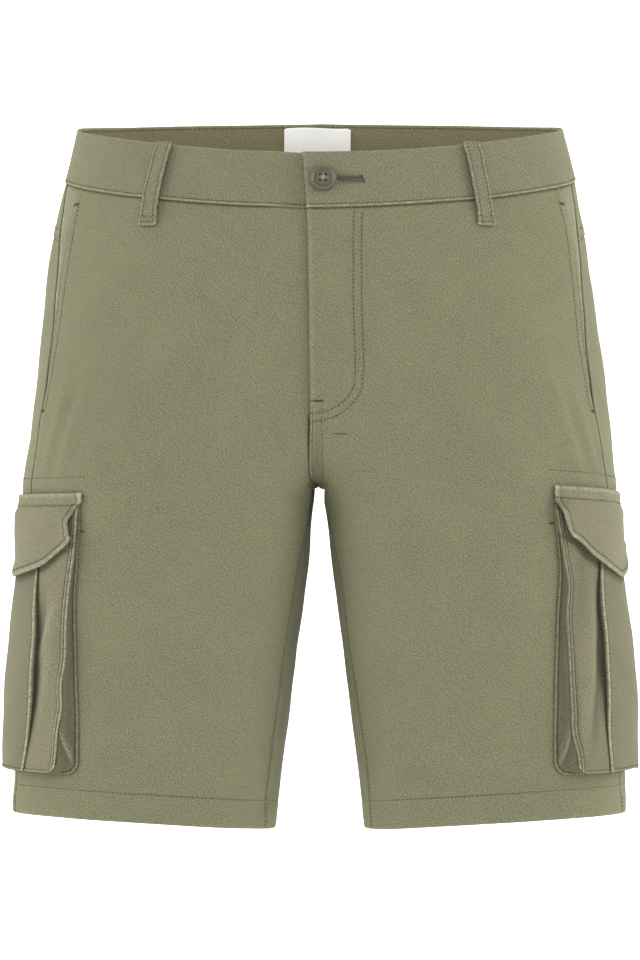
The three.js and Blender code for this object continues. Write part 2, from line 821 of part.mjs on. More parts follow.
for (const side of SIDES) {
  add(`front_${side.name}`, frontPanel(side), CLOTH.olive)
  add(`back_${side.name}`, backPanel(side), CLOTH.olive)
  add(`yoke_${side.name}`, yoke(side), CLOTH.olive)
  add(`waistband_${side.name}`, waistband(side), CLOTH.band)
  add(`pocket_facing_${side.name}`, pocketFacing(side), CLOTH.face)
  add(`cargo_face_${side.name}`, pocketFace(side), CLOTH.face)
  add(`cargo_gusset_${side.name}`, gusset(side), CLOTH.gusset)
  add(`cargo_flap_${side.name}`, flap(side), CLOTH.flap)
}
add('fly_shield', flyShield(), CLOTH.olive)
for (const [name, sign, top, foot, above] of LOOPS.rows) {
  add(`belt_loop_${name}`, beltLoop(sign, top, foot, above), CLOTH.band)
}
add('label', label(), 0xeeeae0, 0.7)

const buttonMesh = add('button', button(), 0x6d6959, 0.45)
const seat = (() => {
  const z = BUTTON.height
  const s = sectionAt(z).first + BUTTON.x
  return { point: lift(1, s, z, BAND_OUT + FLY_LIFT + 0.45), out: outwardAt(s, z) }
})()
buttonMesh.quaternion.setFromUnitVectors(new THREE.Vector3(0, 1, 0), seat.out)
buttonMesh.position.copy(seat.point)

export default shorts
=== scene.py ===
"""Cargo shorts in washed olive twill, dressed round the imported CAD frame.

The garment is filled out as if worn: a hollow shell of sewn panels. Sizes are in millimetres and
turned to metres where a mesh gets its places. +X is the wearer's left, the right of a front view.
"""
import math

import bmesh
import bpy
import numpy as np
from mathutils import Matrix, Vector


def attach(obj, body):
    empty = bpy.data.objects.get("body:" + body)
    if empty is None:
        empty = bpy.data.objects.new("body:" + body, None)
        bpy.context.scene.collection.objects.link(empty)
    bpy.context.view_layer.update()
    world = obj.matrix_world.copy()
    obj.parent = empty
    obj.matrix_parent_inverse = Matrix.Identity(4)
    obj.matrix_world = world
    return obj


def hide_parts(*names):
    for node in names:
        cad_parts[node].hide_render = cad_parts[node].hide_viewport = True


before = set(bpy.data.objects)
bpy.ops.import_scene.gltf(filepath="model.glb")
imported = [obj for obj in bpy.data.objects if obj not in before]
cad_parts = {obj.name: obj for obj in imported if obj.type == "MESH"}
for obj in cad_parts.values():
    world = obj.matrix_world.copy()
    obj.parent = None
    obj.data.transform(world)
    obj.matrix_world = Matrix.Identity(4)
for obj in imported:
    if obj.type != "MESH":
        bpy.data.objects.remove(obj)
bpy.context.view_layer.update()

MM = 0.001


# Smooth curves and tables

def clamp(x, low=0.0, high=1.0):
    return np.minimum(np.maximum(x, low), high)


def ease(low, high, x):
    """0 below low, 1 above high, and a soft S between."""
    t = clamp((x - low) / (high - low))
    return t * t * (3 - 2 * t)


def hump(x, width):
    """A soft ridge, 1 at its middle."""
    return np.exp(-((x / width) ** 2))


def mix(a, b, t):
    return a + (b - a) * t


def smooth_curve(xs, ys):
    """A curve through the points that never overshoots them, level beyond its ends."""
    run = np.diff(xs)
    rise = np.diff(ys) / run
    slope = np.zeros(len(xs))
    slope[0], slope[-1] = rise[0], rise[-1]
    for i in range(1, len(xs) - 1):
        if rise[i - 1] * rise[i] > 0:
            before, after = 2 * run[i] + run[i - 1], run[i] + 2 * run[i - 1]
            slope[i] = (before + after) / (before / rise[i - 1] + after / rise[i])

    def at(x):
        x = clamp(np.asarray(x, float), xs[0], xs[-1])
        i = np.clip(np.searchsorted(xs, x, side="right") - 1, 0, len(run) - 1)
        u = (x - xs[i]) / run[i]
        start = (2 * u**3 - 3 * u**2 + 1) * ys[i] + (u**3 - 2 * u**2 + u) * slope[i] * run[i]
        end = (3 * u**2 - 2 * u**3) * ys[i + 1] + (u**3 - u**2) * slope[i + 1] * run[i]
        return start + end

    return at


def table(columns, *rows):
    """Named curves through a table's rows. The first column is the place along them."""
    cells = np.array(rows, float)
    return {name: smooth_curve(cells[:, 0], cells[:, k]) for k, name in enumerate(columns) if k}


# The garment's form, as in the CAD model: level sections, each two half outlines

SECTION = table(
    ("z", "out", "centre", "front", "back", "round_front", "round_back", "round_inner"),
    (-475, 215.4, 123.5, 89, 90.5, 2.2, 2.2, 3.2),
    (-442, 213.9, 121.1, 90.5, 91.5, 2.2, 2.2, 3.2),
    (-412, 212.7, 118.7, 93, 93, 2.2, 2.2, 3.3),
    (-378, 211, 115.7, 96, 95, 2.2, 2.2, 3.4),
    (-344, 209, 112.6, 99.5, 97.5, 2.2, 2.2, 3.6),
    (-311, 207.2, 109.5, 102.5, 100.5, 2.25, 2.2, 3.8),
    (-275, 206.4, 107.2, 105.5, 105, 2.3, 2.2, 4.1),
    (-257, 206.4, 106.5, 107, 108, 2.3, 2.2, 4.3),
    (-241, 207, 105.7, 108.2, 111, 2.35, 2.2, 4.4),
    (-231.5, 207.3, 103.65, 109, 113.5, 2.4, 2.2, 4.4),
    (-222, 206.3, 98.6, 110, 116, 2.4, 2.2, 4.3),
    (-212, 204.9, 92, 110.5, 118, 2.4, 2.2, 4.1),
    (-200, 203.3, 82.5, 111, 121, 2.4, 2.2, 3.8),
    (-180, 201, 62, 111.5, 124, 2.35, 2.2, 3.3),
    (-157, 198.5, 35, 112, 126, 2.3, 2.2, 2.9),
    (-123, 194.6, 10, 112, 125, 2.25, 2.2, 2.6),
    (-90, 190.8, 1, 110, 120, 2.25, 2.2, 2.25),
    (-56, 185.8, 0, 106, 112, 2.25, 2.25, 2.25),
    (-36, 181.6, 0, 102, 106, 2.25, 2.25, 2.25),
    (-19, 178, 0, 98, 101, 2.25, 2.25, 2.25),
    (0, 173.2, 0, 94, 96, 2.25, 2.25, 2.25),
    (18, 169, 0, 90, 92, 2.25, 2.25, 2.25),
    (40, 164.5, 0, 88, 90, 2.25, 2.25, 2.25),
)
FORK = -231.5
GAP_START = 5.0  # half the width that the gap between the legs has at its flat top
# Edges of the waistband and yoke, from centre front (-1) by the side (0) to centre back (1)
WAIST = table(
    ("share", "top", "seam", "yoke"),
    (-1, -2.9, -41.8, -80),
    (-0.8, -1.9, -40.1, -78),
    (-0.6, 1.3, -36.8, -75),
    (-0.45, 5.2, -33.1, -71),
    (-0.3, 9.8, -28.2, -66),
    (-0.2, 13, -24.6, -62.6),
    (-0.1, 16.2, -20.8, -59),
    (0, 19.5, -17.5, -56),
    (0.3, 24, -13.6, -55.5),
    (0.6, 27, -10.8, -59),
    (1, 28.8, -9.2, -66),
)
SIDE = table(
    ("z", "seam", "opening"),
    (-475, -31, -31),
    (-440, -32.5, -32.5),
    (-360, -42, -42),
    (-300, -50, -50),
    (-234, -56.5, -56.5),
    (-202, -54, -54),
    (-181, -51.5, -52),
    (-171, -50.2, -51.6),
    (-133, -45.8, -50),
    (-89, -41.5, -48.6),
    (-62, -37, -47.6),
    (-36, -28, -46),
    (-10, -20, -45),
)
OPENING_END = -181
FLY = table(
    ("z", "past", "under"),
    (-475, 0, 0),
    (-231.5, 0, 0),
    (-229.5, 15, 0),
    (-226, 12, 0),
    (-218, 7.8, 0),
    (-204, 5.8, 0),
    (-186, 5, 0),
    (-174, 5, 5),
    (-125, 5.4, 6),
    (-43, 7.2, 7),
    (0, 9.8, 8),
    (40, 10, 8),
)
FLY_EASE = 26
FLY_LIFT = 0.8
FLY_DROP = 1.8
INSEAM = table(
    ("z", "forward"),
    (-475, 50),
    (-433, 57),
    (-386, 62),
    (-337, 66),
    (-306, 69),
    (-231.5, 69),
)
INSEAM_SETTLE = 14
HEM_OUT = -458.6
HEM_FALL = 0.06
HEM_BACK = 0.03

SEAM = 0.3
LAP = 1.6  # how far a piece's top runs up under the piece above, so that no light shows through
PANEL = 1.2
HEM_DEPTH = 20
HEM = 2.4
BAND = 2.5
BAND_OUT = 0.8

HEIGHTS = np.unique(np.concatenate([np.arange(-480, 46, 1.0), np.arange(-240, -222, 0.25)]))
HALF = 240
TRACE = 320


def form_lattice():
    """Places on every section at even shares of the way round, with the arcs to both ends."""
    angle = np.linspace(0, math.pi, TRACE + 1)
    along, aside = np.cos(angle), np.abs(np.sin(angle))
    halves = np.zeros((2, len(HEIGHTS), HALF + 1, 2))
    reach = np.zeros((2, len(HEIGHTS)))
    for row, z in enumerate(HEIGHTS):
        out, centre = float(SECTION["out"](z)), float(SECTION["centre"](z))
        for half, (name, way) in enumerate((("front", -1), ("back", 1))):
            outer, inner = (2 / float(SECTION["round_" + part](z)) for part in (name, "inner"))
            power = np.where(along > 0, outer, inner)
            x = centre + (out - centre) * np.sign(along) * np.abs(along) ** power
            y = way * float(SECTION[name](z)) * aside**power
            if z <= FORK:
                x = np.maximum(x, GAP_START * ease(FORK + 0.3, FORK - 1.4, z))
            arc = np.concatenate([[0], np.cumsum(np.hypot(np.diff(x), np.diff(y)))])
            reach[half, row] = arc[-1] if z <= FORK else np.interp(0, -x, arc)
            even = np.linspace(0, reach[half, row], HALF + 1)
            halves[half, row, :, 0] = np.interp(even, arc, x)
            halves[half, row, :, 1] = np.interp(even, arc, y)
    return halves, -reach[0], reach[1]


LATTICE, FIRST, LAST = form_lattice()


def ends_at(z):
    return np.interp(z, HEIGHTS, FIRST), np.interp(z, HEIGHTS, LAST)


def wrapped(s, z):
    """The arc on its own half, and -1 where the place is past the centre line on the other half."""
    first, last = ends_at(z)
    leg = z <= FORK
    arc = np.where(leg & (s < first), s + last - first, s)
    arc = np.where(leg & (arc > last), arc - last + first, arc)
    turned = np.where(~leg & ((s < first) | (s > last)), -1.0, 1.0)
    arc = np.where(~leg & (s < first), 2 * first - s, arc)
    arc = np.where(~leg & (s > last), 2 * last - s, arc)
    return arc, turned, first, last


def place(s, z):
    """Places on the wearer's left half, by arc and height."""
    s, z = np.broadcast_arrays(np.asarray(s, float), np.asarray(z, float))
    arc, turned, first, last = wrapped(s, z)
    row = clamp(np.interp(z, HEIGHTS, np.arange(len(HEIGHTS))), 0, len(HEIGHTS) - 1.001)
    half = np.where(arc < 0, 0, 1)
    share = clamp(np.where(arc < 0, arc / first, arc / last)) * (HALF - 1e-6)
    i, j = row.astype(int), share.astype(int)
    t, u = (row - i)[..., None], (share - j)[..., None]
    low = LATTICE[half, i, j] * (1 - u) + LATTICE[half, i, j + 1] * u
    high = LATTICE[half, i + 1, j] * (1 - u) + LATTICE[half, i + 1, j + 1] * u
    flat = low * (1 - t) + high * t
    return np.stack([flat[..., 0] * turned, flat[..., 1], z], axis=-1)


STEP = 1.2


def outward(s, z):
    across = place(s + STEP, z) - place(s - STEP, z)
    up = place(s, z + STEP) - place(s, z - STEP)
    normal = np.cross(across, up)
    return normal / np.linalg.norm(normal, axis=-1, keepdims=True)


# Soft folds of the whole half garment, by arc and height: start, end, width and depth.
# The ripples on the outer thigh, the drag lines from the crotch and the breaks behind the knee.
FOLDS = {
    1: (
        (-96, -150, -88, -232, 5.5, 1.3),
        (-84, -162, -80, -228, 4.5, -1.2),
        (-74, -168, -70, -226, 5, 1.0),
        (-66, -176, -64, -222, 4, -0.6),
        (-168, -212, -116, -186, 10, -0.9),
        (-150, -258, -112, -296, 12, -0.8),
        (-172, -300, -150, -420, 13, 0.9),
        (-118, -330, -126, -450, 11, -0.7),
        (-140, -70, -118, -150, 16, -0.8),
        (60, -150, 110, -196, 12, -1.6),
        (74, -190, 128, -226, 10, -1.4),
        (96, -250, 62, -330, 13, 1.4),
        (128, -262, 104, -400, 12, -1.3),
        (58, -330, 66, -440, 12, -1.0),
        (40, -96, 92, -118, 12, -0.9),
    ),
    -1: (
        (-99, -158, -92, -234, 6, 1.2),
        (-88, -150, -84, -226, 4.5, -1.3),
        (-78, -164, -74, -230, 5, 1.1),
        (-69, -172, -67, -224, 4, -0.6),
        (-160, -218, -120, -196, 9, -0.8),
        (-158, -262, -118, -284, 11, -0.9),
        (-166, -310, -158, -430, 12, 0.8),
        (-130, -350, -134, -452, 10, -0.7),
        (-146, -84, -128, -160, 14, -0.7),
        (66, -142, 116, -184, 11, -1.5),
        (70, -200, 120, -222, 12, -1.5),
        (88, -256, 70, -344, 12, 1.3),
        (120, -270, 112, -390, 13, -1.4),
        (52, -344, 54, -446, 11, -1.0),
        (46, -104, 84, -132, 13, -0.8),
    ),
}
# A slow swell that keeps the cloth from lying too even: wave lengths, leans and heights
SWELL = ((83, 0.4, 0.55), (127, -0.7, 0.5), (51, 1.1, 0.22))


def creases(rows, s, z):
    """Height of soft ridges and troughs, each from a start to an end with its width and depth."""
    total = np.zeros(np.broadcast(s, z).shape)
    for s0, z0, s1, z1, width, depth in rows:
        run = math.hypot(s1 - s0, z1 - z0)
        along = ((s - s0) * (s1 - s0) + (z - z0) * (z1 - z0)) / run**2
        aside = ((s - s0) * (z1 - z0) - (z - z0) * (s1 - s0)) / run
        ends = ease(-0.2, 0.3, along) * (1 - ease(0.65, 1.2, along))
        total = total + depth * hump(aside, width) * ends
    return total


def folds(sign, s, z):
    """How far the cloth stands off the form, none at the centre lines and the inside leg."""
    arc, _, first, last = wrapped(s, z)
    total = creases(FOLDS[sign], arc, z) * mix(1, 1.5, ease(-10, 30, arc))
    for k, (length, lean, height) in enumerate(SWELL):
        total = total + height * np.sin(2 * math.pi * (arc + lean * z) / length + 1.3 * k + sign)
    quiet = ease(4, 34, arc - first) * ease(4, 34, last - arc)
    return total * quiet * ease(20, -40, z)


def lift(sign, s, z, distance):
    """Points in metres, moved out from the folded form by a distance."""
    s, z = np.broadcast_arrays(np.asarray(s, float), np.asarray(z, float))
    distance = (folds(sign, s, z) + distance)[..., None]
    return (place(s, z) + outward(s, z) * distance) * (sign * MM, MM, MM)


def waist_height(edge, s, z):
    first, last = ends_at(z)
    return WAIST[edge](clamp(np.where(s < 0, s / -first, s / last), -1, 1))


def hem_height(s, z):
    point = place(s, z)
    return HEM_OUT - HEM_FALL * (SECTION["out"](z) - point[..., 0]) - HEM_BACK * point[..., 1]


def inseam_at(z):
    return INSEAM["forward"](z) * (1 - np.exp(-np.maximum(FORK - z, 0) / INSEAM_SETTLE))


# Materials

def linear(code):
    """Linear colour from an sRGB hex value."""
    parts = [((code >> shift) & 255) / 255 for shift in (16, 8, 0)]
    return [p / 12.92 if p <= 0.04045 else ((p + 0.055) / 1.055) ** 2.4 for p in parts] + [1.0]


def add(tree, kind, inputs=None, **settings):
    """Adds a node with its settings, and a value or a link for each named input."""
    made = tree.nodes.new(kind)
    for name, value in settings.items():
        setattr(made, name, value)
    for socket, value in (inputs or {}).items():
        if isinstance(value, bpy.types.NodeSocket):
            tree.links.new(value, made.inputs[socket])
        else:
            made.inputs[socket].default_value = value
    return made


def blank(name):
    material = bpy.data.materials.new(name)
    material.use_nodes = True
    material.node_tree.nodes.clear()
    return material, material.node_tree


# The real cloth has a rib every 0.6 mm and yarns of 0.3 mm, finer than the render's pixels, so both
# are drawn at about twice that.
TWILL_PITCH = 1.6
TWILL_LEAN = math.radians(47)
WAVE_PERIOD = math.pi / 10  # the wave texture's scale that gives one band a unit
SLUB = (1.9, 1.25, 1)  # yarn flecks to a rib, across it and along it
WASH_PATCH = 9
FADE_PATCH = 38


def twill(name, cloth, worn, shade_tone, inner):
    """Cotton twill, woven and garment washed: matt, softly ribbed, flecked by its uneven yarn, paler
    where it rubs on a seam, with painted shade in the stitched grooves, seams and hollows, and a lighter inside tone
    painted as fill light."""
    material, tree = blank(name)

    def math_node(operation, a, b, c=0.0):
        return add(tree, "ShaderNodeMath", {0: a, 1: b, 2: c}, operation=operation).outputs[0]

    def share(value, low, high, top=1.0):
        return add(
            tree,
            "ShaderNodeMapRange",
            {"Value": value, "From Min": low, "From Max": high, "To Min": 0.0, "To Max": top},
            interpolation_type="SMOOTHSTEP",
        ).outputs["Result"]

    def noise(at, scale, detail, roughness=0.5):
        return add(
            tree,
            "ShaderNodeTexNoise",
            {"Vector": at, "Scale": scale, "Detail": detail, "Roughness": roughness},
        ).outputs["Fac"]

    def blend(a, b, factor):
        return add(tree, "ShaderNodeMix", {0: factor, 6: a, 7: b}, data_type="RGBA").outputs[2]

    def field(attribute):
        return add(tree, "ShaderNodeAttribute", attribute_name=attribute).outputs["Fac"]

    flat = add(tree, "ShaderNodeUVMap", uv_map="cloth").outputs["UV"]
    ribs = add(
        tree,
        "ShaderNodeMapping",
        {
            "Vector": flat,
            "Rotation": (0, 0, math.pi / 2 - TWILL_LEAN),
            "Scale": (1 / (TWILL_PITCH * MM), 1 / (TWILL_PITCH * MM), 1),
        },
        vector_type="POINT",
    ).outputs["Vector"]
    rib = add(
        tree,
        "ShaderNodeTexWave",
        {"Vector": ribs, "Scale": WAVE_PERIOD, "Distortion": 1.6, "Detail": 2.0, "Detail Scale": 2.0},
        wave_type="BANDS",
        bands_direction="X",
        wave_profile="SIN",
    ).outputs["Fac"]
    slub = add(tree, "ShaderNodeVectorMath", {0: ribs, 1: SLUB}, operation="MULTIPLY").outputs[0]
    fleck = noise(slub, 1.0, 1.0)
    patch = noise(flat, 1 / (WASH_PATCH * MM), 2.0)
    fade = noise(flat, 1 / (FADE_PATCH * MM), 3.0)
    groove = share(math_node("ABSOLUTE", field("sewn"), 0.0), 0.7, 0.0)
    rubbed = share(field("wear"), 0.0, 1.0, 0.62)
    painted_shade = share(field("wear"), 0.0, -1.0, 0.7)
    # The inside faces take a lighter copy of the cloth: painted fill light where the inside lies in shade.
    tone = blend(linear(cloth), linear(inner), field("inside"))
    tone = blend(tone, linear(worn), rubbed)
    # Below 0 the wear field is painted shade: seams, grooves, hollows and parts under others darken towards the shade
    # tone.
    tone = blend(tone, linear(shade_tone), painted_shade)
    # Painted shade along each stitched line: the groove is darkened towards the shade tone.
    tone = blend(tone, linear(shade_tone), math_node("MULTIPLY", groove, 0.2))
    # The wash leaves patches that lean to brown and to grey-green.
    hue = blend((0.988, 1.0, 1.01, 1), (1.012, 1.0, 0.985, 1), share(patch, 0.36, 0.64))
    tone = add(tree, "ShaderNodeVectorMath", {0: tone, 1: hue}, operation="MULTIPLY").outputs[0]
    grain = math_node("MULTIPLY_ADD", rib, 0.2, 0.9)
    for part, amount in ((fleck, 1.5), (patch, 0.12), (fade, 0.16)):
        grain = math_node("MULTIPLY_ADD", math_node("SUBTRACT", part, 0.5), amount, grain)
    tone = add(tree, "ShaderNodeVectorMath", {0: tone, 3: grain}, operation="SCALE").outputs[0]
    height = math_node("MULTIPLY_ADD", rib, 0.35, math_node("MULTIPLY", fleck, 1.1))
    height = math_node("MULTIPLY_ADD", groove, -0.8, height)
    bump = add(
        tree, "ShaderNodeBump", {"Strength": 0.8, "Distance": 0.35 * MM, "Height": height}
    ).outputs["Normal"]
    surface = add(
        tree,
        "ShaderNodeBsdfPrincipled",
        {
            "Base Color": tone,
            "Roughness": 0.92,
            "Specular IOR Level": 0.2,
            "Sheen Weight": 0.25,
            "Sheen Roughness": 0.5,
            "Sheen Tint": linear(0xA8A58C),
            "Normal": bump,
        },
    )
    add(tree, "ShaderNodeOutputMaterial", {"Surface": surface.outputs[0]})
    return material


def plain_finish(name, colour, roughness, fleck_size, spread, sheen=0.0, specular=0.4, depth=0.1):
    """A fine-grained surface whose tone and height both follow one noise."""
    material, tree = blank(name)
    at = add(tree, "ShaderNodeTexCoord").outputs["Object"]
    fleck = add(
        tree, "ShaderNodeTexNoise", {"Vector": at, "Scale": 1 / (fleck_size * MM), "Detail": 3.0}
    ).outputs["Fac"]
    tone = add(
        tree,
        "ShaderNodeMath",
        {0: fleck, 1: 2 * spread, 2: 1 - spread},
        operation="MULTIPLY_ADD",
    ).outputs[0]
    tint = add(
        tree, "ShaderNodeVectorMath", {0: linear(colour)[:3], 3: tone}, operation="SCALE"
    ).outputs[0]
    bump = add(
        tree, "ShaderNodeBump", {"Strength": 0.7, "Distance": depth * MM, "Height": fleck}
    ).outputs["Normal"]
    surface = add(
        tree,
        "ShaderNodeBsdfPrincipled",
        {
            "Base Color": tint,
            "Roughness": roughness,
            "Specular IOR Level": specular,
            "Sheen Weight": sheen,
            "Normal": bump,
        },
    )
    add(tree, "ShaderNodeOutputMaterial", {"Surface": surface.outputs[0]})
    return material


# Washed olive cotton twill in the tones of the photograph: the main cloth, then the pieces that stand off the leg
# and rub paler, and the gusset, a darker copy that is painted shade under the pocket face. Inside tones are lighter:
# painted fill light.
MAIN = twill("cotton_twill_washed_olive", 0x737259, 0xA8A68E, 0x3B3A29, 0x7C795E)
BAND_CLOTH = twill("cotton_twill_waistband", 0x73725B, 0xACAA93, 0x3B3A29, 0x837D60)
POCKET_CLOTH = twill("cotton_twill_pocket", 0x75725B, 0xB2B099, 0x38372A, 0x7C795E)
# The gusset's darker tone is painted shade, where the pocket face overhangs it.
SHADED_GUSSET_CLOTH = twill("cotton_twill_gusset_painted_shade", 0x676650, 0xB0AE96, 0x353523, 0x6E6B54)
# Core-spun polyester thread, dulled by washing: small dark stitches sunk in the cloth, dark partly as the thread's own
# olive and partly as painted shade of the needle holes
THREAD = plain_finish("polyester_thread_olive_painted_shade", 0x3F3D2C, 0.8, 0.5, 0.1, sheen=0.1)
THREAD_PALE = plain_finish("polyester_thread_button", 0x8E8B76, 0.7, 0.5, 0.1, sheen=0.1)
THREAD_HOLE = plain_finish("polyester_thread_buttonhole", 0x45412F, 0.8, 0.5, 0.2, sheen=0.1)
# Woven label tape, smooth off-white satin
TAPE = plain_finish("woven_label_tape", 0xFFFDF8, 0.6, 0.7, 0.015, sheen=0.2, depth=0.05)
# Cast polyester button, turned and tumbled to a low gloss
RESIN = plain_finish("cast_polyester_button", 0x54513D, 0.28, 2.5, 0.14, specular=0.5, depth=0.02)


# Cloth pieces

def crowd(length, pitch, margin, fine):
    """Shares from 0 to 1 along a length, closer together within a margin at both ends."""
    rim = np.linspace(0, margin, max(int(round(margin / fine)), 1) + 1)
    middle = np.linspace(margin, length - margin, max(int(round((length - 2 * margin) / pitch)), 1) + 1)
    return np.concatenate([rim, middle[1:-1], length - rim[::-1]]) / length


def settle(ends, height, u, v, start):
    """Arcs and heights that agree, where each depends on the other."""
    z = np.full(u.shape, float(start))
    for _ in range(9):
        low, high = ends(z)
        s = mix(low, high, u)
        z = height(u, v, s, z)
    return s, z


def cloth_piece(name, sign, across, down, rule, thick, material):
    """One cut piece: a grid whose crossings the rule places, given its thickness inwards.

    rule(u, v) gives arc, height and distance off the form, and the fields that the material reads:
    sewn, the distance outside a stitched band in mm; wear and painted shade, from -1 painted shade in seams, grooves
    and hollows to 1 rubbed; and inside."""
    wide, tall = len(across) - 1, len(down) - 1
    bm = bmesh.new()
    bmesh.ops.create_grid(bm, x_segments=wide, y_segments=tall, size=0.5)
    spot = np.array([v.co[:2] for v in bm.verts]) + 0.5
    u = across[np.rint(spot[:, 0] * wide).astype(int)]
    v = down[np.rint((1 - spot[:, 1]) * tall).astype(int)]
    s, z, off, fields = rule(u, v)
    points = lift(sign, s, z, off)
    for vertex, point in zip(bm.verts, points):
        vertex.co = point
    bm.normal_update()
    facing = outward(s, z) * (sign, 1, 1)
    if fields.get("facing") is not None:
        facing = facing * fields.pop("facing")[:, None]
    normals = np.array([vertex.normal[:] for vertex in bm.verts])
    if float((normals * facing).sum()) < 0:
        bmesh.ops.reverse_faces(bm, faces=bm.faces)
    mesh = bpy.data.meshes.new(name)
    bm.to_mesh(mesh)
    bm.free()
    for field, default in (("sewn", 50.0), ("wear", 0.0), ("inside", 0.0)):
        values = np.broadcast_to(fields.get(field, default), s.shape).astype(np.float32)
        mesh.attributes.new(field, "FLOAT", "POINT").data.foreach_set("value", values.copy())
    corner = np.empty(len(mesh.loops), np.int32)
    mesh.loops.foreach_get("vertex_index", corner)
    flat = np.stack([sign * fields.get("aside", s) * MM, fields.get("run", z) * MM], axis=-1)[corner]
    mesh.uv_layers.new(name="cloth").data.foreach_set("uv", flat.ravel().astype(np.float32))
    mesh.shade_smooth()
    piece = bpy.data.objects.new(name + "_cloth", mesh)
    bpy.context.scene.collection.objects.link(piece)
    wall = piece.modifiers.new("wall", "SOLIDIFY")
    wall.thickness = thick * MM
    wall.offset = -1
    mesh.materials.append(material)
    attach(piece, "root")
    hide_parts(name)
    return piece


def pucker(along, seed):
    """The uneven gathering of a washed seam, from 0 to 1 along it."""
    wave = np.sin(2 * math.pi * along / 7.1 + 2.1 * np.sin(2 * math.pi * along / 37 + seed) + seed)
    return 0.5 + 0.32 * wave + 0.18 * np.sin(2 * math.pi * along / 3.3 + 2 * seed)


def rolled(d, radius):
    """How far a free edge turns down, within a radius of it."""
    into = clamp(1 - d / radius)
    return radius * (1 - np.sqrt(1 - into**2 * 0.96))


def outer_edge(z):
    return np.where(z > OPENING_END, SIDE["opening"](z), SIDE["seam"](z)) - SEAM / 2


def inner_edge(sign, z):
    first, _ = ends_at(z)
    past = FLY["past"](z)
    body = -past if sign > 0 else past - FLY["under"](z)
    return first + np.where(z <= FORK, inseam_at(z), body) + SEAM / 2


def near_fly(s, z, edge):
    return ease(0, 1, 1 - np.abs(s - edge) / FLY_EASE) * ease(0, 1, (z - FORK) / 45 - 0.2)


def leg_ends(outer, inner, u):
    """A leg panel's two end arcs. Its inner edge turns sharply at the fork, and only the grid's last
    columns follow it there."""
    near = np.array([FORK - 27, FORK + 13])
    calm = inner(near)

    def at(z):
        low, high = outer(z), inner(z)
        level = np.where((z > near[0]) & (z < near[1]), np.interp(z, near, calm), high)
        reach = (level - low) * u + (high - level) * u**40
        return low, low + reach / np.maximum(u, 1e-6)

    return at


def leg_height(top_edge, levels):
    """Heights of a leg panel's rows. Its levels table crowds them round the fork on the inside."""

    def at(u, v, s, z):
        share = clamp(v)
        level = mix(levels["side"](share), levels["inside"](share), ease(0, 1, u))
        top = waist_height(top_edge, s, z) + LAP
        hem = hem_height(s, z) + HEM / 2
        start = mix(levels["side"](0), levels["inside"](0), ease(0, 1, u))
        end = mix(levels["side"](1), levels["inside"](1), ease(0, 1, u))
        return level + (top - start) * (1 - share) ** 5 + (hem - end) * share**8

    return at


FRONT_LEVELS = table(
    ("share", "side", "inside"),
    (0, -24, -42),
    (0.25, -126, -131),
    (0.42, -200, -212),
    (0.47, -222, -227.5),
    (0.5, -235, -231.3),
    (0.53, -248, -234.5),
    (0.58, -270, -249),
    (0.75, -345, -335),
    (1, -459, -470),
)
BACK_LEVELS = table(
    ("share", "side", "inside"),
    (0, -56, -66),
    (0.2, -122, -128),
    (0.38, -196, -210),
    (0.43, -218, -227),
    (0.46, -231, -231.3),
    (0.49, -244, -234.5),
    (0.55, -268, -250),
    (0.75, -352, -342),
    (1, -460, -474),
)
HEM_TURN = np.array([1.2, 1.4, 1.6, 1.8, 2.0, 2.06, 2.15, 2.3, 2.5, 2.7, 2.9, 3.0])


def turned_hem(s, z, v):
    """Rows past 1 roll round the hem's edge, and rows past 2 lie up its inside."""
    half = HEM / 2
    angle = math.pi * clamp(v - 1)
    up = clamp(v - 2) * (HEM_DEPTH - half)
    return z - half * np.sin(angle) + up, -half * (1 - np.cos(angle))


# The J-stitch on the wearer's left front, by height: how far its outer line is from the centre
J_TOP = ((31.2, -36), (30.9, -43), (30.4, -66), (30.6, -105), (31.4, -130), (32.0, -148), (30.9, -163))
J_FOOT = ((27.6, -171), (22.6, -176.8), (16.5, -181.6), (9.5, -184.9), (3.6, -186.2), (-4.6, -186.8))
J_LINE = np.array(J_TOP + J_FOOT, float)
J_GAP = 5.6
FELL = table(("z", "near", "far"), (-228, -8.0, 10.4), (-218, -5.2, 5.6), (-204, -3.6, 4.0), (-186, -2.9, 3.6))
OPENING_STITCH = 6.2
INSEAM_STITCH = 2.6
HEM_ROLL = 0.35
SEAM_PUCKER = 0.35


def offset_line(line, distance):
    """A line moved sideways, to its right where distance is positive."""
    way = np.gradient(line, axis=0)
    way /= np.linalg.norm(way, axis=1, keepdims=True)
    return line + np.stack([way[:, 1], -way[:, 0]], axis=-1) * distance


def finer(line, pitch=2.0):
    """The line with points close together, smoothly through its own."""
    step = np.concatenate([[0], np.cumsum(np.linalg.norm(np.diff(line, axis=0), axis=1))])
    at = np.linspace(0, step[-1], max(int(step[-1] / pitch), 2) + 1)
    return np.stack([smooth_curve(step, line[:, k])(at) for k in (0, 1)], axis=-1)


def distance_to(line, x, z):
    """Distance from places to a line in the flat."""
    best = np.full(x.shape, 1e9)
    for (x0, z0), (x1, z1) in zip(line[:-1], line[1:]):
        run = (x1 - x0) ** 2 + (z1 - z0) ** 2
        t = clamp(((x - x0) * (x1 - x0) + (z - z0) * (z1 - z0)) / run)
        best = np.minimum(best, np.hypot(x - x0 - t * (x1 - x0), z - z0 - t * (z1 - z0)))
    return best


J_OUTER = finer(J_LINE)
J_INNER = finer(offset_line(J_LINE, J_GAP))
J_MIDDLE = finer(offset_line(J_LINE, J_GAP / 2))[::2]


def front_parts(sign, s, z):
    """Distances of a place on a front from its top seam, outer edge, inner edge and hem."""
    return (
        waist_height("seam", s, z) - SEAM - z,
        outer_edge(z) - s,
        s - inner_edge(sign, z),
        z - hem_height(s, z),
    )


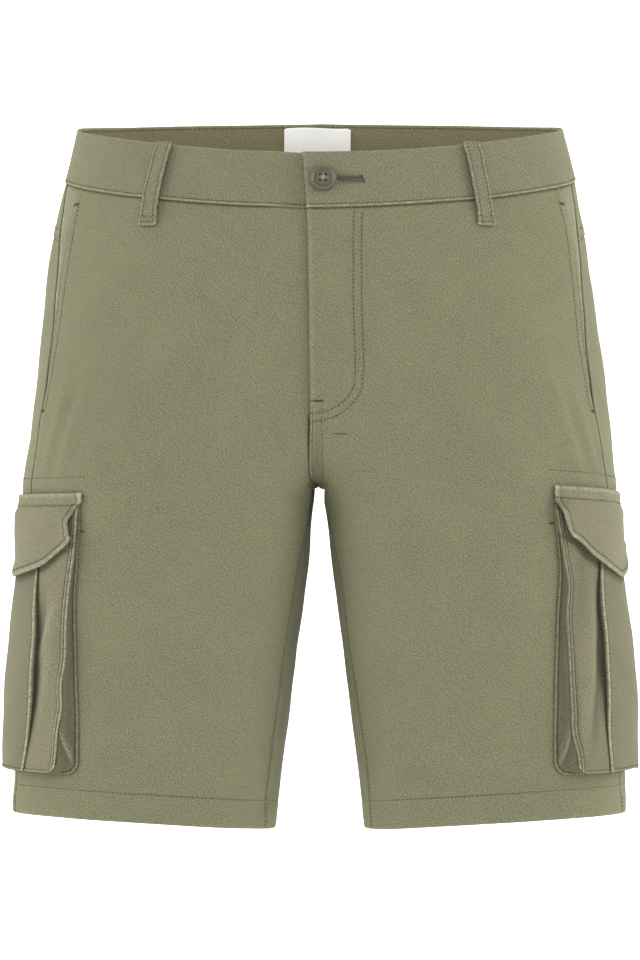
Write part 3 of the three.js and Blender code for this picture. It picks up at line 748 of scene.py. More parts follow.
def front_off(sign, s, z):
    top, side, inner, hem = front_parts(sign, s, z)
    shift = FLY_LIFT if sign > 0 else -FLY_DROP
    off = shift * near_fly(s, z, inner_edge(sign, z))
    off = off - 0.55 * hump(top, 1.0) - 0.5 * hump(side, 0.9)
    free = np.where(z > -222, 1.0, 0.0) if sign > 0 else 0.0
    off = off - free * rolled(inner, 0.8) - (1 - free) * 0.5 * hump(inner, 0.9)
    opened = ease(OPENING_END - 6, OPENING_END + 8, z)
    off = off + opened * (0.4 * hump(side - 3, 2.4) - rolled(side, 0.8))
    off = off + 0.35 * hump(hem - 9, 7) * pucker(s, 1.0) - HEM_ROLL * hump(hem - HEM_DEPTH, 1.4)
    leg = np.where(z <= FORK, 1.0, 0.0)
    off = off + leg * 0.35 * hump(inner - 1.5, 1.3) * pucker(z, 2.0)
    off = off + SEAM_PUCKER * (pucker(z, 3.0) - 0.5) * hump(side - OPENING_STITCH, 4) * opened
    if sign > 0:
        off = off + (1 - leg) * 0.35 * hump(inner - 2, 1.6) * ease(-225, -200, z)
        off = off + (1 - leg) * SEAM_PUCKER * (pucker(z, 1.7) - 0.5) * hump(inner - 5, 5)
        first, _ = ends_at(z)
        beside = distance_to(J_MIDDLE, s - first, z)
        off = off + (1 - leg) * SEAM_PUCKER * (pucker(z + 0.7 * s, 0.9) - 0.5) * hump(beside - 2, 4)
    return off


def front_rule(sign):
    height = leg_height("seam", FRONT_LEVELS)

    def rule(u, v):
        ends = leg_ends(outer_edge, lambda z: inner_edge(sign, z), u)
        s, z = settle(ends, height, u, v, -200)
        off = front_off(sign, s, z)
        top, side, inner, hem = front_parts(sign, s, z)
        first, _ = ends_at(z)
        body = z > FORK
        sewn = hem - HEM_DEPTH
        sewn = np.minimum(sewn, np.where(z > OPENING_END, side - OPENING_STITCH, 50))
        sewn = np.minimum(sewn, np.where(body, 50, inner - INSEAM_STITCH))
        if sign > 0:
            for line in ("near", "far"):
                sewn = np.minimum(sewn, np.where(body & (z < -187), np.abs(s - first - FELL[line](z)), 50))
        if sign > 0:
            sewn = np.minimum(sewn, distance_to(J_MIDDLE, s - first, z) - J_GAP / 2)
        # Pale rubbed ridges beside the seams and hem; the seam lines themselves get painted shade.
        wear = 0.5 * hump(side - 1.4, 1.6) * pucker(z, 0.4) - 0.7 * hump(side, 0.5)
        wear = wear - 0.75 * hump(top, 0.8)
        # The crotch is sewn over and folds under: painted shadow darkens it across the top of the gap between the legs
        wear = wear - 0.8 * hump(z - FORK - 1.5, 2.6) * ease(9, 5.5, place(s, z)[..., 0])
        if sign > 0:
            edge = np.where(body, 0.4 * hump(inner - 2.0, 1.5), 0.3 * hump(inner - 1.4, 1.0))
        else:
            edge = np.where(body, 0.0, 0.3 * hump(inner - 1.4, 1.0))
        wear = wear + edge * (0.5 + 0.5 * pucker(z, 1.1)) - 0.7 * hump(inner, 0.5)
        wear = wear + 0.3 * hump(hem - 1.0, 1.6) * pucker(s, 1.9)
        wear = wear + 0.22 * hump(hem - HEM_DEPTH + 1.8, 1.3) * pucker(s, 0.2)
        z, back = turned_hem(s, z, v)
        facing = np.where(v > 1.5, -1.0, 1.0)
        run = z - 2 * (v > 1.5) * hem
        inside = ease(1.5, 2.0, v)
        return s, z, off + back, {"sewn": sewn, "wear": wear, "inside": inside, "facing": facing, "run": run}

    return rule


def back_inner(z):
    _, last = ends_at(z)
    return last + np.where(z <= FORK, inseam_at(z), 0.0) - SEAM / 2


YOKE_STITCH = (1.4, 7.2)
RISE_STITCH = (1.4, 7.2)


def back_off(s, z):
    top = waist_height("yoke", s, z) - z
    side = s - SIDE["seam"](z) - SEAM / 2
    inner = back_inner(z) - s
    hem = z - hem_height(s, z)
    off = -0.5 * hump(top, 0.9) - 0.5 * hump(side, 0.9) - 0.5 * hump(inner, 0.9)
    off = off + 0.35 * hump(side - 2.2, 1.8) * pucker(z, 0.7)
    off = off - (PANEL + 0.15) * ease(0.2, -0.8, top)
    return off + 0.35 * hump(hem - 9, 7) * pucker(s, 1.0) - HEM_ROLL * hump(hem - HEM_DEPTH, 1.4)


def back_rule(sign):
    height = leg_height("yoke", BACK_LEVELS)

    def rule(u, v):
        ends = leg_ends(lambda z: SIDE["seam"](z) + SEAM / 2, back_inner, u)
        s, z = settle(ends, height, u, v, -200)
        off = back_off(s, z)
        top = waist_height("yoke", s, z) - z
        side = s - SIDE["seam"](z) - SEAM / 2
        inner = back_inner(z) - s
        hem = z - hem_height(s, z)
        body = z > FORK
        sewn = np.minimum(hem - HEM_DEPTH, np.where(body & (sign > 0), inner - RISE_STITCH[1], 50))
        # Pale rubbed ridges beside the seams, with painted shade in the seam lines themselves.
        wear = 0.5 * hump(side - 2.0, 1.5) * pucker(z, 0.9) - 0.7 * hump(side, 0.5)
        wear = wear - 0.7 * hump(inner, 0.6) - 0.7 * hump(top, 0.6)
        wear = wear + np.where(body, 0.45 * hump(inner - 4, 2.4) * pucker(z, 0.1), 0.0)
        wear = wear + 0.3 * hump(hem - 1.0, 1.6) * pucker(s, 1.9)
        wear = wear + 0.22 * hump(hem - HEM_DEPTH + 1.8, 1.3) * pucker(s, 0.2)
        z, back = turned_hem(s, z, v)
        facing = np.where(v > 1.5, -1.0, 1.0)
        run = z - 2 * (v > 1.5) * hem
        inside = ease(1.5, 2.0, v)
        return s, z, off + back, {"sewn": sewn, "wear": wear, "inside": inside, "facing": facing, "run": run}

    return rule


def yoke_off(s, z):
    bottom = z - waist_height("yoke", s, z)
    top = waist_height("seam", s, z) - z
    off = 0.45 * hump(bottom - 3.5, 3.2) * pucker(s, 0.3) - 0.4 * hump(bottom, 0.8)
    return off - 0.5 * hump(top, 0.9)


def yoke_rule(sign):
    def rule(u, v):
        ends = lambda z: (SIDE["seam"](z) + SEAM / 2, ends_at(z)[1] - SEAM / 2)
        height = lambda u, v, s, z: mix(waist_height("seam", s, z) + LAP, waist_height("yoke", s, z), v)
        s, z = settle(ends, height, u, v, -40)
        bottom = z - waist_height("yoke", s, z)
        side = s - SIDE["seam"](z) - SEAM / 2
        inner = ends_at(z)[1] - SEAM / 2 - s
        sewn = np.minimum(bottom - YOKE_STITCH[1], inner - RISE_STITCH[1] if sign > 0 else 50)
        # Pale rubbed ridges beside the seams, with painted shade in the seam lines themselves.
        wear = 0.6 * hump(bottom - 0.9, 1.0) * pucker(s, 0.3) + 0.25 * hump(bottom - 5, 2) * pucker(s, 1)
        wear = wear + 0.5 * hump(side - 2, 1.5) * pucker(z, 0.9) - 0.7 * hump(inner, 0.6)
        wear = wear - 0.6 * hump(side, 0.5) - 0.7 * hump(waist_height("seam", s, z) - z, 0.9)
        off = yoke_off(s, z) + 0.35 * hump(side - 2.2, 1.8) - 0.5 * hump(side, 0.9)
        return s, z, off, {"sewn": sewn, "wear": wear}

    return rule


def facing_off(s, z):
    edge, seam = SIDE["opening"](z), SIDE["seam"](z)
    return -mix(PANEL + 0.9, 0.35, ease(0, 1, (s - edge - 1) / np.maximum(seam - edge - 1, 1)))


FACING_UNDER = 16
FACING_END = OPENING_END + 12


def facing_rule(u, v):
    ends = lambda z: (SIDE["opening"](z) - FACING_UNDER, SIDE["seam"](z) - SEAM)
    height = lambda u, v, s, z: mix(waist_height("seam", s, z) - SEAM, FACING_END, v)
    s, z = settle(ends, height, u, v, -40)
    side = SIDE["seam"](z) - s
    shade = ease(5, 0, s - SIDE["opening"](z))
    # The facing is paler overall, with painted shade under the front's opening edge and along the side seam.
    wear = 0.4 + 0.35 * hump(side - 1.6, 1.4) * pucker(z, 0.9) - 0.9 * hump(side, 0.5) - 0.9 * shade
    return s, z, facing_off(s, z) - 0.3 * hump(side, 0.8), {"wear": wear}


# The waistband is one strip folded over its top edge: rows below 0 roll over it and down its inside
BAND_UNDERLAP = 26
BAND_DROP = 3.2
BAND_STITCH = 2.3
BAND_PUCKER = 0.3
BAND_TURN = np.array([-2.0, -1.8, -1.6, -1.4, -1.25, -1.15, -1.08, -1.04, -1.0, -0.8, -0.6, -0.4, -0.2])


def band_end(sign, z):
    first, _ = ends_at(z)
    if sign > 0:
        return first - FLY["past"](z) + SEAM / 2
    return first + FLY["past"](z) - BAND_UNDERLAP


def band_off(sign, s, z):
    bottom = z - waist_height("seam", s, z)
    top = waist_height("top", s, z) - z
    off = BAND_OUT + 0.45 * hump(bottom - 1.0, 1.1) * (0.5 + 0.5 * pucker(s, 0.6))
    off = off - 0.3 * hump(bottom - BAND_STITCH, 0.7) - 0.5 * rolled(bottom, 0.8)
    off = off + 0.3 * hump(top - 16, 12) + 0.22 * np.sin(s / 17.0 + sign) * hump(top - 18, 14)
    off = off + BAND_PUCKER * (pucker(s, 1.4) - 0.5) * (hump(bottom - 5, 5) + 0.5 * hump(top - 5, 5))
    end = band_end(sign, z)
    if sign > 0:
        return off + FLY_LIFT * near_fly(s, z, end) - rolled(s - end, 0.9)
    edge = ends_at(z)[0] + FLY["past"](z) + 2
    return off - BAND_DROP * ease(0, 1, (edge + FLY_EASE - s) / FLY_EASE)


def band_rule(sign):
    def rule(u, v):
        ends = lambda z: (ends_at(z)[1] - SEAM / 2, band_end(sign, z))

        def height(u, v, s, z):
            top, seam = waist_height("top", s, z) - BAND / 2, waist_height("seam", s, z)
            return mix(top, seam, np.where(v < 0, clamp(-v - 1), clamp(v)))

        s, z = settle(ends, height, u, v, 0)
        bottom = z - waist_height("seam", s, z)
        top = waist_height("top", s, z) - z
        end = s - band_end(sign, z)
        inner = v < -0.5
        off = band_off(sign, s, np.where(inner, waist_height("top", s, z) - BAND / 2, z))
        # A pale rubbed ridge above the seam, with painted shade in the seam line itself.
        wear = 0.7 * hump(bottom - 0.9, 0.9) * (0.3 + 0.7 * pucker(s, 0.6)) - 0.7 * hump(bottom, 0.35)
        wear = wear + 0.28 * hump(top - 0.6, 1.4) * pucker(s, 2.2)
        if sign > 0:
            wear = wear + 0.4 * hump(end - 1.2, 1.2) * pucker(z, 0.8)
            past = s - ends_at(z)[0]
            slit = ease(12, 14, past) * ease(32, 30, past)
            beyond = np.abs(z - BUTTON["height"])
            # The buttonhole's slit and the edges of its stitching get painted shade.
            wear = wear - (1.4 * hump(beyond, 0.6) + 0.6 * hump(beyond - 2.9, 0.7)) * slit
        wear = np.where(inner, 0.0, wear)
        sewn = np.where(inner, 2.4 - top, bottom - BAND_STITCH)
        angle = math.pi * clamp(-v)
        roll = BAND / 2
        off = off - roll * (1 - np.cos(angle))
        z = z + roll * np.sin(angle)
        facing = np.where(inner, -1.0, 1.0)
        run = z + 2 * inner * (top + roll)
        inside = ease(0.4, 0.9, -v)
        return s, z, off, {"sewn": sewn, "wear": wear, "inside": inside, "facing": facing, "run": run}

    return rule


SHIELD = {"past": 5, "reach": 32, "bottom": -184, "curve": 26, "under_right": 4.3, "under_left": 2}


def shield_rule(u, v):
    def ends(z):
        up = clamp((z - SHIELD["bottom"]) / SHIELD["curve"])
        reach = mix(6 - SHIELD["past"], SHIELD["reach"], np.sqrt(1 - (1 - up) ** 2))
        first, _ = ends_at(z)
        return first - SHIELD["past"], first + reach

    height = lambda u, v, s, z: mix(waist_height("seam", s, z) - 1, SHIELD["bottom"], v)
    s, z = settle(ends, height, u, v, -60)
    past = s - ends_at(z)[0] - 3
    off = -mix(SHIELD["under_right"], SHIELD["under_left"], ease(0, 14, past))
    # The shield is darkened a little: painted shade under the fly.
    return s, z, off, {"wear": np.full(s.shape, -0.1)}


# Belt loops: strips sewn at both ends, a little proud of the band between
LOOP_WIDTH = 12
LOOP_THICK = 1.6
LOOP_PROUD = 2.4
LOOP_BELOW = 19
LOOP_FOOT = 6
LOOP_CORNER = 6
LOOPS = {
    "belt_loop_front_left": (1, -0.513, -0.503, 0.8),
    "belt_loop_front_right": (-1, -0.513, -0.503, 0.8),
    "belt_loop_back_left": (1, 0.52, 0.52, -0.3),
    "belt_loop_back_right": (-1, 0.52, 0.52, -0.3),
    "belt_loop_centre_back": (1, 1, 1, -0.3),
}


def loop_line(down, shares, above):
    """Arc and height of the loop's middle line, by the share of its length down."""
    z = np.zeros_like(down)
    for _ in range(8):
        share = mix(shares[0], shares[1], down)
        first, last = ends_at(z)
        s = np.where(share < 0, -share * first, share * last)
        z = mix(waist_height("top", s, z) + above, waist_height("seam", s, z) - LOOP_BELOW, down)
    return s, z


def loop_off(aside, down, s, z):
    """Height of the loop's face. aside is in mm from its middle line."""
    length = waist_height("top", s, z) - waist_height("seam", s, z) + LOOP_BELOW
    foot = (1 - down) * length
    head = down * length
    on_band = ease(-2.5, 1.5, z - waist_height("seam", s, z))
    seat = mix(0.35, BAND_OUT + 0.5, on_band)
    between = ease(3, 13, foot) * ease(1, 9, head)
    off = seat + LOOP_THICK + LOOP_PROUD * between
    off = off + 0.7 * ease(LOOP_FOOT + 1.2, LOOP_FOOT - 0.6, foot) + 0.5 * ease(4.4, 3.2, head)
    off = off + 0.22 * hump(np.abs(aside) - 4.8, 0.9) - 0.22 * hump(np.abs(aside) - 3.9, 0.7)
    edge = LOOP_WIDTH / 2 - np.abs(aside)
    off = off - rolled(edge, 1.3) - 0.8 * rolled(foot, 1.3)
    return off + (0.25 * np.sin(z / 5.0 + aside / 5) + 0.2 * pucker(z, 0.7)) * between


def loop_rule(shares, above):
    def rule(u, v):
        s, z = loop_line(v, shares, above)
        aside = (u - 0.5) * LOOP_WIDTH
        length = waist_height("top", s, z) - waist_height("seam", s, z) + LOOP_BELOW
        foot = (1 - v) * length
        head = v * length
        widen = 1 + 0.13 * ease(LOOP_FOOT + 6, 0, foot) + 0.03 * ease(9, 0, head)
        widen = widen + 0.07 * (pucker(z + 3 * np.sign(aside), 0.5) - 0.5)
        corner = LOOP_CORNER * clamp(np.abs(u - 0.5) * 2 - 0.6) ** 2
        z = z + corner * (ease(3, 0, foot) - ease(3, 0, head))
        off = loop_off(aside, v, s, z)
        wear = 0.6 * hump(np.abs(aside) - 5.0, 0.8) * (0.3 + 0.7 * pucker(z, 0.2))
        # A paler rubbed foot edge, with painted shade along the stitched line above it.
        wear = wear + 0.3 * hump(foot - 0.8, 0.9) - 0.5 * hump(foot - LOOP_FOOT, 0.7)
        sewn = 3.8 - np.abs(aside)
        return s + aside * widen, z, off, {"sewn": np.minimum(-sewn, 50), "wear": wear}

    return rule


# Cargo pocket: a gusset stands on the leg round three sides and carries a face with a box pleat
POCKET_MIDDLE = -36
POCKET_BACK = 33.5
POCKET_BOTTOM = -429
POCKET_TOP = -248.5
POCKET_RIM_TOP = -243
# By height, how far round each leg the front edge is: the gusset's foot and the face's rim
POCKET_FRONT = {
    1: table(
        ("z", "foot", "rim"),
        (-430, -105.5, -91),
        (-420, -105.8, -93.2),
        (-390, -106.2, -97.9),
        (-336, -105.9, -100.2),
        (-288, -105, -102.2),
        (-271, -107, -105.5),
        (-247, -111.2, -110),
    ),
    -1: table(
        ("z", "foot", "rim"),
        (-430, -103.9, -89.4),
        (-413, -104.1, -92.1),
        (-382, -104.2, -96.2),
        (-346, -103.2, -98.9),
        (-312, -103.4, -101.2),
        (-281, -107.2, -106),
        (-247, -111.8, -110.6),
    ),
}
STAND = table(
    ("z", "inset", "edge", "middle"),
    (-430, 11.5, 9.6, 4.4),
    (-412, 10.5, 9.2, 5.2),
    (-378, 7.5, 7.8, 5.8),
    (-345, 5, 6.6, 5),
    (-311, 3.4, 5, 3.4),
    (-270, 2.4, 3, 1.2),
    (-247, 2, 1.8, 0.6),
)
# The pleat's strip: its front edge by height, and its back edge, which hangs straight
PLEAT_FRONT = {
    1: table(("z", "s"), (-430, -64.4), (-405, -66.8), (-378, -66.1), (-344, -65), (-309, -67.9), (-247, -69)),
    -1: table(("z", "s"), (-430, -58.8), (-402, -67), (-364, -70.5), (-337, -71.8), (-309, -71.2), (-247, -70.5)),
}
PLEAT_BACK = -4.5
PLEAT_DEPTH = 1.5
PLEAT_GAPE = 0.9
PLEAT_ROW = 2.9
# The pleat's edge folds back under itself: by the distance beside it, where the cloth really runs,
# and the share of the strip's height that it has there
FOLD_IN = (-200, -3.4, -1.3, -0.5, -0.15, 0.15, 0.45, 0.8, 1.2, 2.2, 7.0, 200)
FOLD_OUT = (-200, -3.4, -0.9, 0.15, 0.55, 0.6, 0.2, -0.9, -1.6, -0.2, 7.0, 200)
FOLD_UP = (1, 1, 1, 1, 0.86, 0.66, 0.48, 0.2, 0.04, 0, 0, 0)
FACE_CORNER = 7
RIM_WAVE = 0.7
FACE_ROWS = (2.0, 4.4)
# Soft folds of each face beside its pleat, as in FOLDS
FACE_FOLDS = {
    1: (
        (-70, -286, -69, -392, 4, -2.2),
        (-69, -338, -81, -410, 3.6, -1.9),
        (-79, -318, -90, -404, 6, 1.6),
        (-86, -262, -94, -330, 7, -0.7),
        (18, -300, 4, -380, 6, -1.2),
        (26, -336, 20, -410, 5, 0.8),
    ),
    -1: (
        (-93, -306, -75, -350, 4.0, 1.7),
        (-88, -330, -79, -410, 6, 1.2),
        (-79, -300, -70, -404, 5, -2.6),
        (-88, -366, -80, -420, 5, -0.9),
        (12, -306, 22, -372, 7, -1.3),
        (4, -352, -2, -414, 5, 0.9),
    ),
}


def pocket_edges(sign, z):
    """Arcs of a pocket's front and back edge by height: its gusset's foot and its face's rim."""
    front = POCKET_FRONT[sign]
    wave = RIM_WAVE * np.sin(z / 8.5 + 1.7 * np.sin(z / 21 + sign)) * ease(POCKET_TOP - 10, POCKET_TOP - 40, z)
    return (front["foot"](z), POCKET_BACK + 0 * z), (front["rim"](z) + wave, POCKET_BACK - STAND["inset"](z))


def face_across(sign, s, z):
    """From -1 at the face's front rim to 1 at its back rim."""
    _, (front, back) = pocket_edges(sign, z)
    return clamp(2 * (s - front) / (back - front) - 1, -1, 1)


def stand_off(across, z):
    return mix(STAND["middle"](z), STAND["edge"](z), clamp(np.abs(across)) ** 2)


def face_bottom(across):
    beyond = clamp((np.abs(across) - 0.85) / 0.15)
    return POCKET_BOTTOM + 1.5 + FACE_CORNER * (1 - np.sqrt(1 - beyond**2 * 0.96))


def face_top(across):
    return mix(POCKET_TOP, POCKET_RIM_TOP, ease(0.8, 1, np.abs(across)))


def face_off(sign, s, z):
    """Height of the pocket face, with its pleat strip on top and its pinched, twice-sewn rim."""
    _, (front, back) = pocket_edges(sign, z)
    across = face_across(sign, s, z)
    rim = np.minimum(s - front, back - s)
    low = z - face_bottom(across)
    beside = np.maximum(PLEAT_FRONT[sign]["s"](z) - s, s - PLEAT_BACK)
    up = np.interp(beside, FOLD_IN, FOLD_UP)
    gape = ease(-284, -318, z) * ease(POCKET_BOTTOM + 8, POCKET_BOTTOM + 80, z)
    off = stand_off(across, z) + SEAM + PANEL + (PLEAT_DEPTH + PLEAT_GAPE * gape) * up
    off = off - (1 - up) * gape * 0.9 * hump(beside - 1, 5)
    off = off + 0.9 * gape * (1 - up) * hump(beside - 14, 7)
    off = off + up * (0.4 * hump(beside + 1.3, 1.1) - 0.35 * hump(beside + PLEAT_ROW, 0.6))
    gathered = 0.6 + 0.5 * pucker(z, 0.5)
    off = off + gathered * (0.7 * hump(rim - 1.0, 0.8) + 0.55 * hump(rim - 3.1, 0.9))
    off = off - 0.35 * hump(rim - FACE_ROWS[0], 0.5) - 0.4 * hump(rim - FACE_ROWS[1], 0.7)
    off = off + 0.4 * hump(low - 1.0, 0.9) - rolled(rim, 0.9) - rolled(low, 0.9)
    waves = 0.5 * np.sin(z / 19 + 3 * across + sign) * hump(rim, 14)
    waves = waves + creases(FACE_FOLDS[sign], s, z) * (1 - up) * ease(2, 9, rim)
    off = off + waves * ease(POCKET_BOTTOM + 4, POCKET_BOTTOM + 30, z)
    return off - 2.0 * ease(POCKET_TOP - 3, POCKET_RIM_TOP, z)


def face_arc(sign, u, z):
    """Arcs by thirds of the way across: the front panel, the pleat's strip and the back panel."""
    _, (front, back) = pocket_edges(sign, z)
    first = PLEAT_FRONT[sign]["s"](z)
    strip = mix(first, PLEAT_BACK, 3 * u - 1)
    return np.where(u < 1 / 3, mix(front, first, 3 * u), np.where(u < 2 / 3, strip, mix(PLEAT_BACK, back, 3 * u - 2)))


def face_rule(sign):
    def rule(u, v):
        z = np.full(u.shape, float(POCKET_TOP))
        for _ in range(9):
            s = face_arc(sign, u, z)
            across = face_across(sign, s, z)
            z = mix(face_top(across), face_bottom(across), v)
        _, (front, back) = pocket_edges(sign, z)
        rim = np.minimum(s - front, back - s)
        low = z - face_bottom(across)
        beside = np.maximum(PLEAT_FRONT[sign]["s"](z) - s, s - PLEAT_BACK)
        sewn = np.minimum(rim - FACE_ROWS[1], np.where(beside < -1, np.abs(beside + PLEAT_ROW), 50))
        sewn = np.minimum(sewn, low - FACE_ROWS[0])
        wear = 0.95 * hump(rim - 0.9, 0.8) * (0.3 + 0.7 * pucker(z, 0.5))
        wear = wear + 0.7 * hump(rim - 3.2, 0.7) * (0.3 + 0.7 * pucker(z, 1.4))
        # The stitched rows get painted shade in their grooves.
        wear = wear - 0.9 * hump(rim - FACE_ROWS[0], 0.45) - 0.6 * hump(rim - FACE_ROWS[1], 0.5)
        wear = wear + 0.9 * hump(beside + 1.0, 0.9) * (0.4 + 0.6 * pucker(z, 2.4))
        # Painted shade over the pleat's strip and on the panel beside it, painted shadow under the flap's lower edge,
        # painted light and shade on the ridges and troughs of the folds, and painted shade in the gap beside the
        # strip's edge.
        wear = wear - 0.4 * ease(-1.5, -4.5, beside) - 0.28 * (sign > 0) * ease(0, 4, beside)
        wear = wear - 0.7 * hump(z - flap_lower(sign, s) + 1.6, 2.0)
        wear = wear + 0.2 * creases(FACE_FOLDS[sign], s, z) * (beside > 1) * ease(4, 9, rim)
        wear = wear - 0.9 * hump(beside - 1.0, 1.1) * (beside > 0.2)
        wear = wear + 0.45 * hump(low - 0.9, 0.8) * (0.3 + 0.7 * pucker(s, 0.7))
        outside = np.where(s < POCKET_MIDDLE, -1.0, 1.0)
        moved = s + outside * (np.interp(beside, FOLD_IN, FOLD_OUT) - beside)
        return moved, z, face_off(sign, s, z), {"sewn": sewn, "wear": wear}

    return rule


FOOT_CORNER = 10
FOOT = 0.5
FLANGE = 2.6
FLANGE_SHARE = 0.3
GUSSET_SIDE = POCKET_RIM_TOP - (POCKET_BOTTOM + FOOT_CORNER)
GUSSET_TURN = math.pi / 2 * FOOT_CORNER
GUSSET_SOLE = 119
GUSSET_RUN = 2 * GUSSET_SIDE + 2 * GUSSET_TURN + GUSSET_SOLE
TUCK_START = 24
TUCK_LONG = 28


def gusset_place(sign, run, v):
    """A place by the run along the gusset and the share of the way up from its foot on the leg,
    in by its sewn flange and on to its rim under the face's edge."""
    behind = run > GUSSET_RUN / 2
    run = np.where(behind, GUSSET_RUN - run, run)
    toward = np.where(behind, -1.0, 1.0)
    angle = math.pi / 2 * clamp((run - GUSSET_SIDE) / GUSSET_TURN)
    sole = clamp((run - GUSSET_SIDE - GUSSET_TURN) / (GUSSET_SOLE / 2))
    down = np.minimum(run, GUSSET_SIDE)
    foot_z = POCKET_RIM_TOP - down - FOOT_CORNER * np.sin(angle)
    foot, _ = pocket_edges(sign, foot_z)
    foot_s = np.where(behind, foot[1], foot[0]) + toward * FOOT_CORNER * (1 - np.cos(angle))
    foot_s = mix(foot_s, POCKET_MIDDLE, sole)
    across = mix(0.85 + 0.15 * np.cos(angle), 0, sole)
    rim_z = np.where(angle > 0, face_bottom(across), mix(POCKET_RIM_TOP, face_bottom(1.0), down / GUSSET_SIDE))
    _, rim = pocket_edges(sign, rim_z)
    rim_s = mix(rim[0], rim[1], (1 - toward * across) / 2)
    # The rim runs up under the face's sewn edge, however that waves
    top = face_off(sign, rim_s + 1.4 * toward * np.cos(angle), rim_z + 1.4 * np.sin(angle)) - PANEL - 0.15
    flange, rise = clamp(v / FLANGE_SHARE), clamp((v - FLANGE_SHARE) / (1 - FLANGE_SHARE))
    bead = 1.1 * np.sin(math.pi * flange) ** 0.7
    start_s = foot_s + toward * np.cos(angle) * FLANGE * flange
    start_z = foot_z + np.sin(angle) * FLANGE * flange
    arch = np.sin(math.pi * rise)
    beyond = (run - (GUSSET_SIDE - TUCK_START + TUCK_LONG * (1 - rise))) / 6
    fold = np.where(beyond < 0, hump(beyond, 1.0), hump(beyond, 0.45)) * arch**0.6
    crumple = np.sin(run / 9.0 + 2 * np.sin(run / 23.0) + sign) * arch
    height = mix(FOOT + bead, top, rise) - 0.5 * arch * clamp(top / 6) + 0.12 * crumple + 2.8 * fold
    return mix(start_s, rim_s, rise) - toward * 0.8 * fold, mix(start_z, rim_z, rise), height, rise, fold


def gusset_rule(sign):
    def rule(u, v):
        run = u * GUSSET_RUN
        s, z, off, rise, fold = gusset_place(sign, run, v)
        # A pale rubbed bead on the foot and a paler tuck, with painted shade at the flange's fold and up the wall under
        # the face's overhanging rim.
        wear = 0.6 * hump(v - 0.15, 0.1) * (0.3 + 0.7 * pucker(run, 0.8)) - 0.7 * hump(v - 0.33, 0.05)
        wear = wear - 0.45 * np.sin(math.pi * rise) - 0.3 * ease(0.7, 1, rise) + 0.9 * fold
        return s, z, off, {"wear": wear, "sewn": np.full(s.shape, 50.0), "aside": v * 16, "run": run}

    return rule


# Pointed flaps: the height of the top and its tilt, the front edge by height, and how far the lower
# edge drops below its ends, by the place across from -1 in front to 1 behind
FLAPS = {
    1: {
        "top": -234,
        "tilt": 3.8,
        "drop": 27,
        "front": table(
            ("z", "s"),
            (-266, -102.6),
            (-258, -104.6),
            (-250, -107.3),
            (-244, -110.4),
            (-240.5, -113),
            (-230, -113.3),
        ),
        "shape": table(
            ("across", "drop"), (-0.9, 0), (-0.79, 0.13), (-0.6, 0.51), (-0.13, 0.95), (0, 1), (0.6, 0.6), (1, 0)
        ),
        "line": (-115, -219.7, -225.4),
    },
    -1: {
        "top": -236.5,
        "tilt": 1.3,
        "drop": 24.3,
        "front": table(
            ("z", "s"),
            (-268, -108.2),
            (-262, -106),
            (-255, -105.2),
            (-248.5, -108.4),
            (-244.5, -111.2),
            (-242, -114.2),
            (-236, -115.2),
        ),
        "shape": table(
            ("across", "drop"), (-0.96, 0), (-0.78, 0.35), (-0.59, 0.68), (-0.1, 0.97), (0, 1), (0.6, 0.64), (1, 0)
        ),
        "line": (-117, -224.8, -226),
    },
}
FLAP_HALF = 75
FLAP_END = 33
FLAP_THICK = 1.8
FLAP_BAND = 8.2
FLAP_ROW = 4.4


def flap_upper(sign, s):
    return FLAPS[sign]["top"] - FLAPS[sign]["tilt"] * (s - POCKET_MIDDLE) / FLAP_HALF


def flap_lower(sign, s):
    flap = FLAPS[sign]
    drop = flap["drop"] * flap["shape"]["drop"]((s - POCKET_MIDDLE) / FLAP_HALF)
    return flap_upper(sign, s) - FLAP_END - drop


def flap_place(sign, u, v):
    """Arc, height and height off the form of a place on the flap, with how far down it is and how
    far in from its free edges."""
    flap = FLAPS[sign]
    back = POCKET_MIDDLE + FLAP_HALF
    ends = lambda z: (flap["front"]["s"](z), back)
    height = lambda u, v, s, z: mix(flap_upper(sign, s), flap_lower(sign, s), v)
    s, z = settle(ends, height, u, v, flap["top"] - 20)
    down = flap_upper(sign, s) - z
    in_front = s - flap["front"]["s"](z)
    rim = np.minimum(z - flap_lower(sign, s), np.minimum(in_front, back - s))
    z = z + 2.4 * ease(4, 0, in_front) ** 2 * ease(0.85, 1, v)
    under = np.minimum(z, POCKET_TOP)
    across = np.abs(s - POCKET_MIDDLE) / FLAP_HALF
    over = stand_off(face_across(sign, s, under), under) + SEAM + PANEL + PLEAT_DEPTH + 0.4
    over = over + 2.5 * ease(0.75, 1, across) * ease(6, 22, down)
    off = mix(0.5, over, ease(4.5, 14, down)) + FLAP_THICK
    band = ease(FLAP_BAND + 0.7, FLAP_BAND - 0.7, down)
    off = off + band * (0.7 + 0.2 * np.sin(2.5 * s + np.sin(s / 5)) * ease(0.5, 3, down))
    off = off - 0.35 * hump(down - FLAP_BAND, 0.9)
    off = off - 2.4 * hump(in_front - 1, 6) * hump(down - 12.5, 3.2)
    off = off + 0.9 * np.sin(s / 15 + sign) * ease(20, 50, down)
    gathered = 0.5 + 0.7 * pucker(s * 1.3 + z * 0.7, 1.2)
    off = off + 0.7 * gathered * hump(rim - 2.1, 1.5) * (1 - band) - 0.4 * hump(rim - FLAP_ROW, 0.8)
    off = off + 0.9 * ease(12, 3, rim) * ease(22, 34, down)
    return s, z, off - rolled(rim, 0.9) - rolled(down, 0.9), down, rim


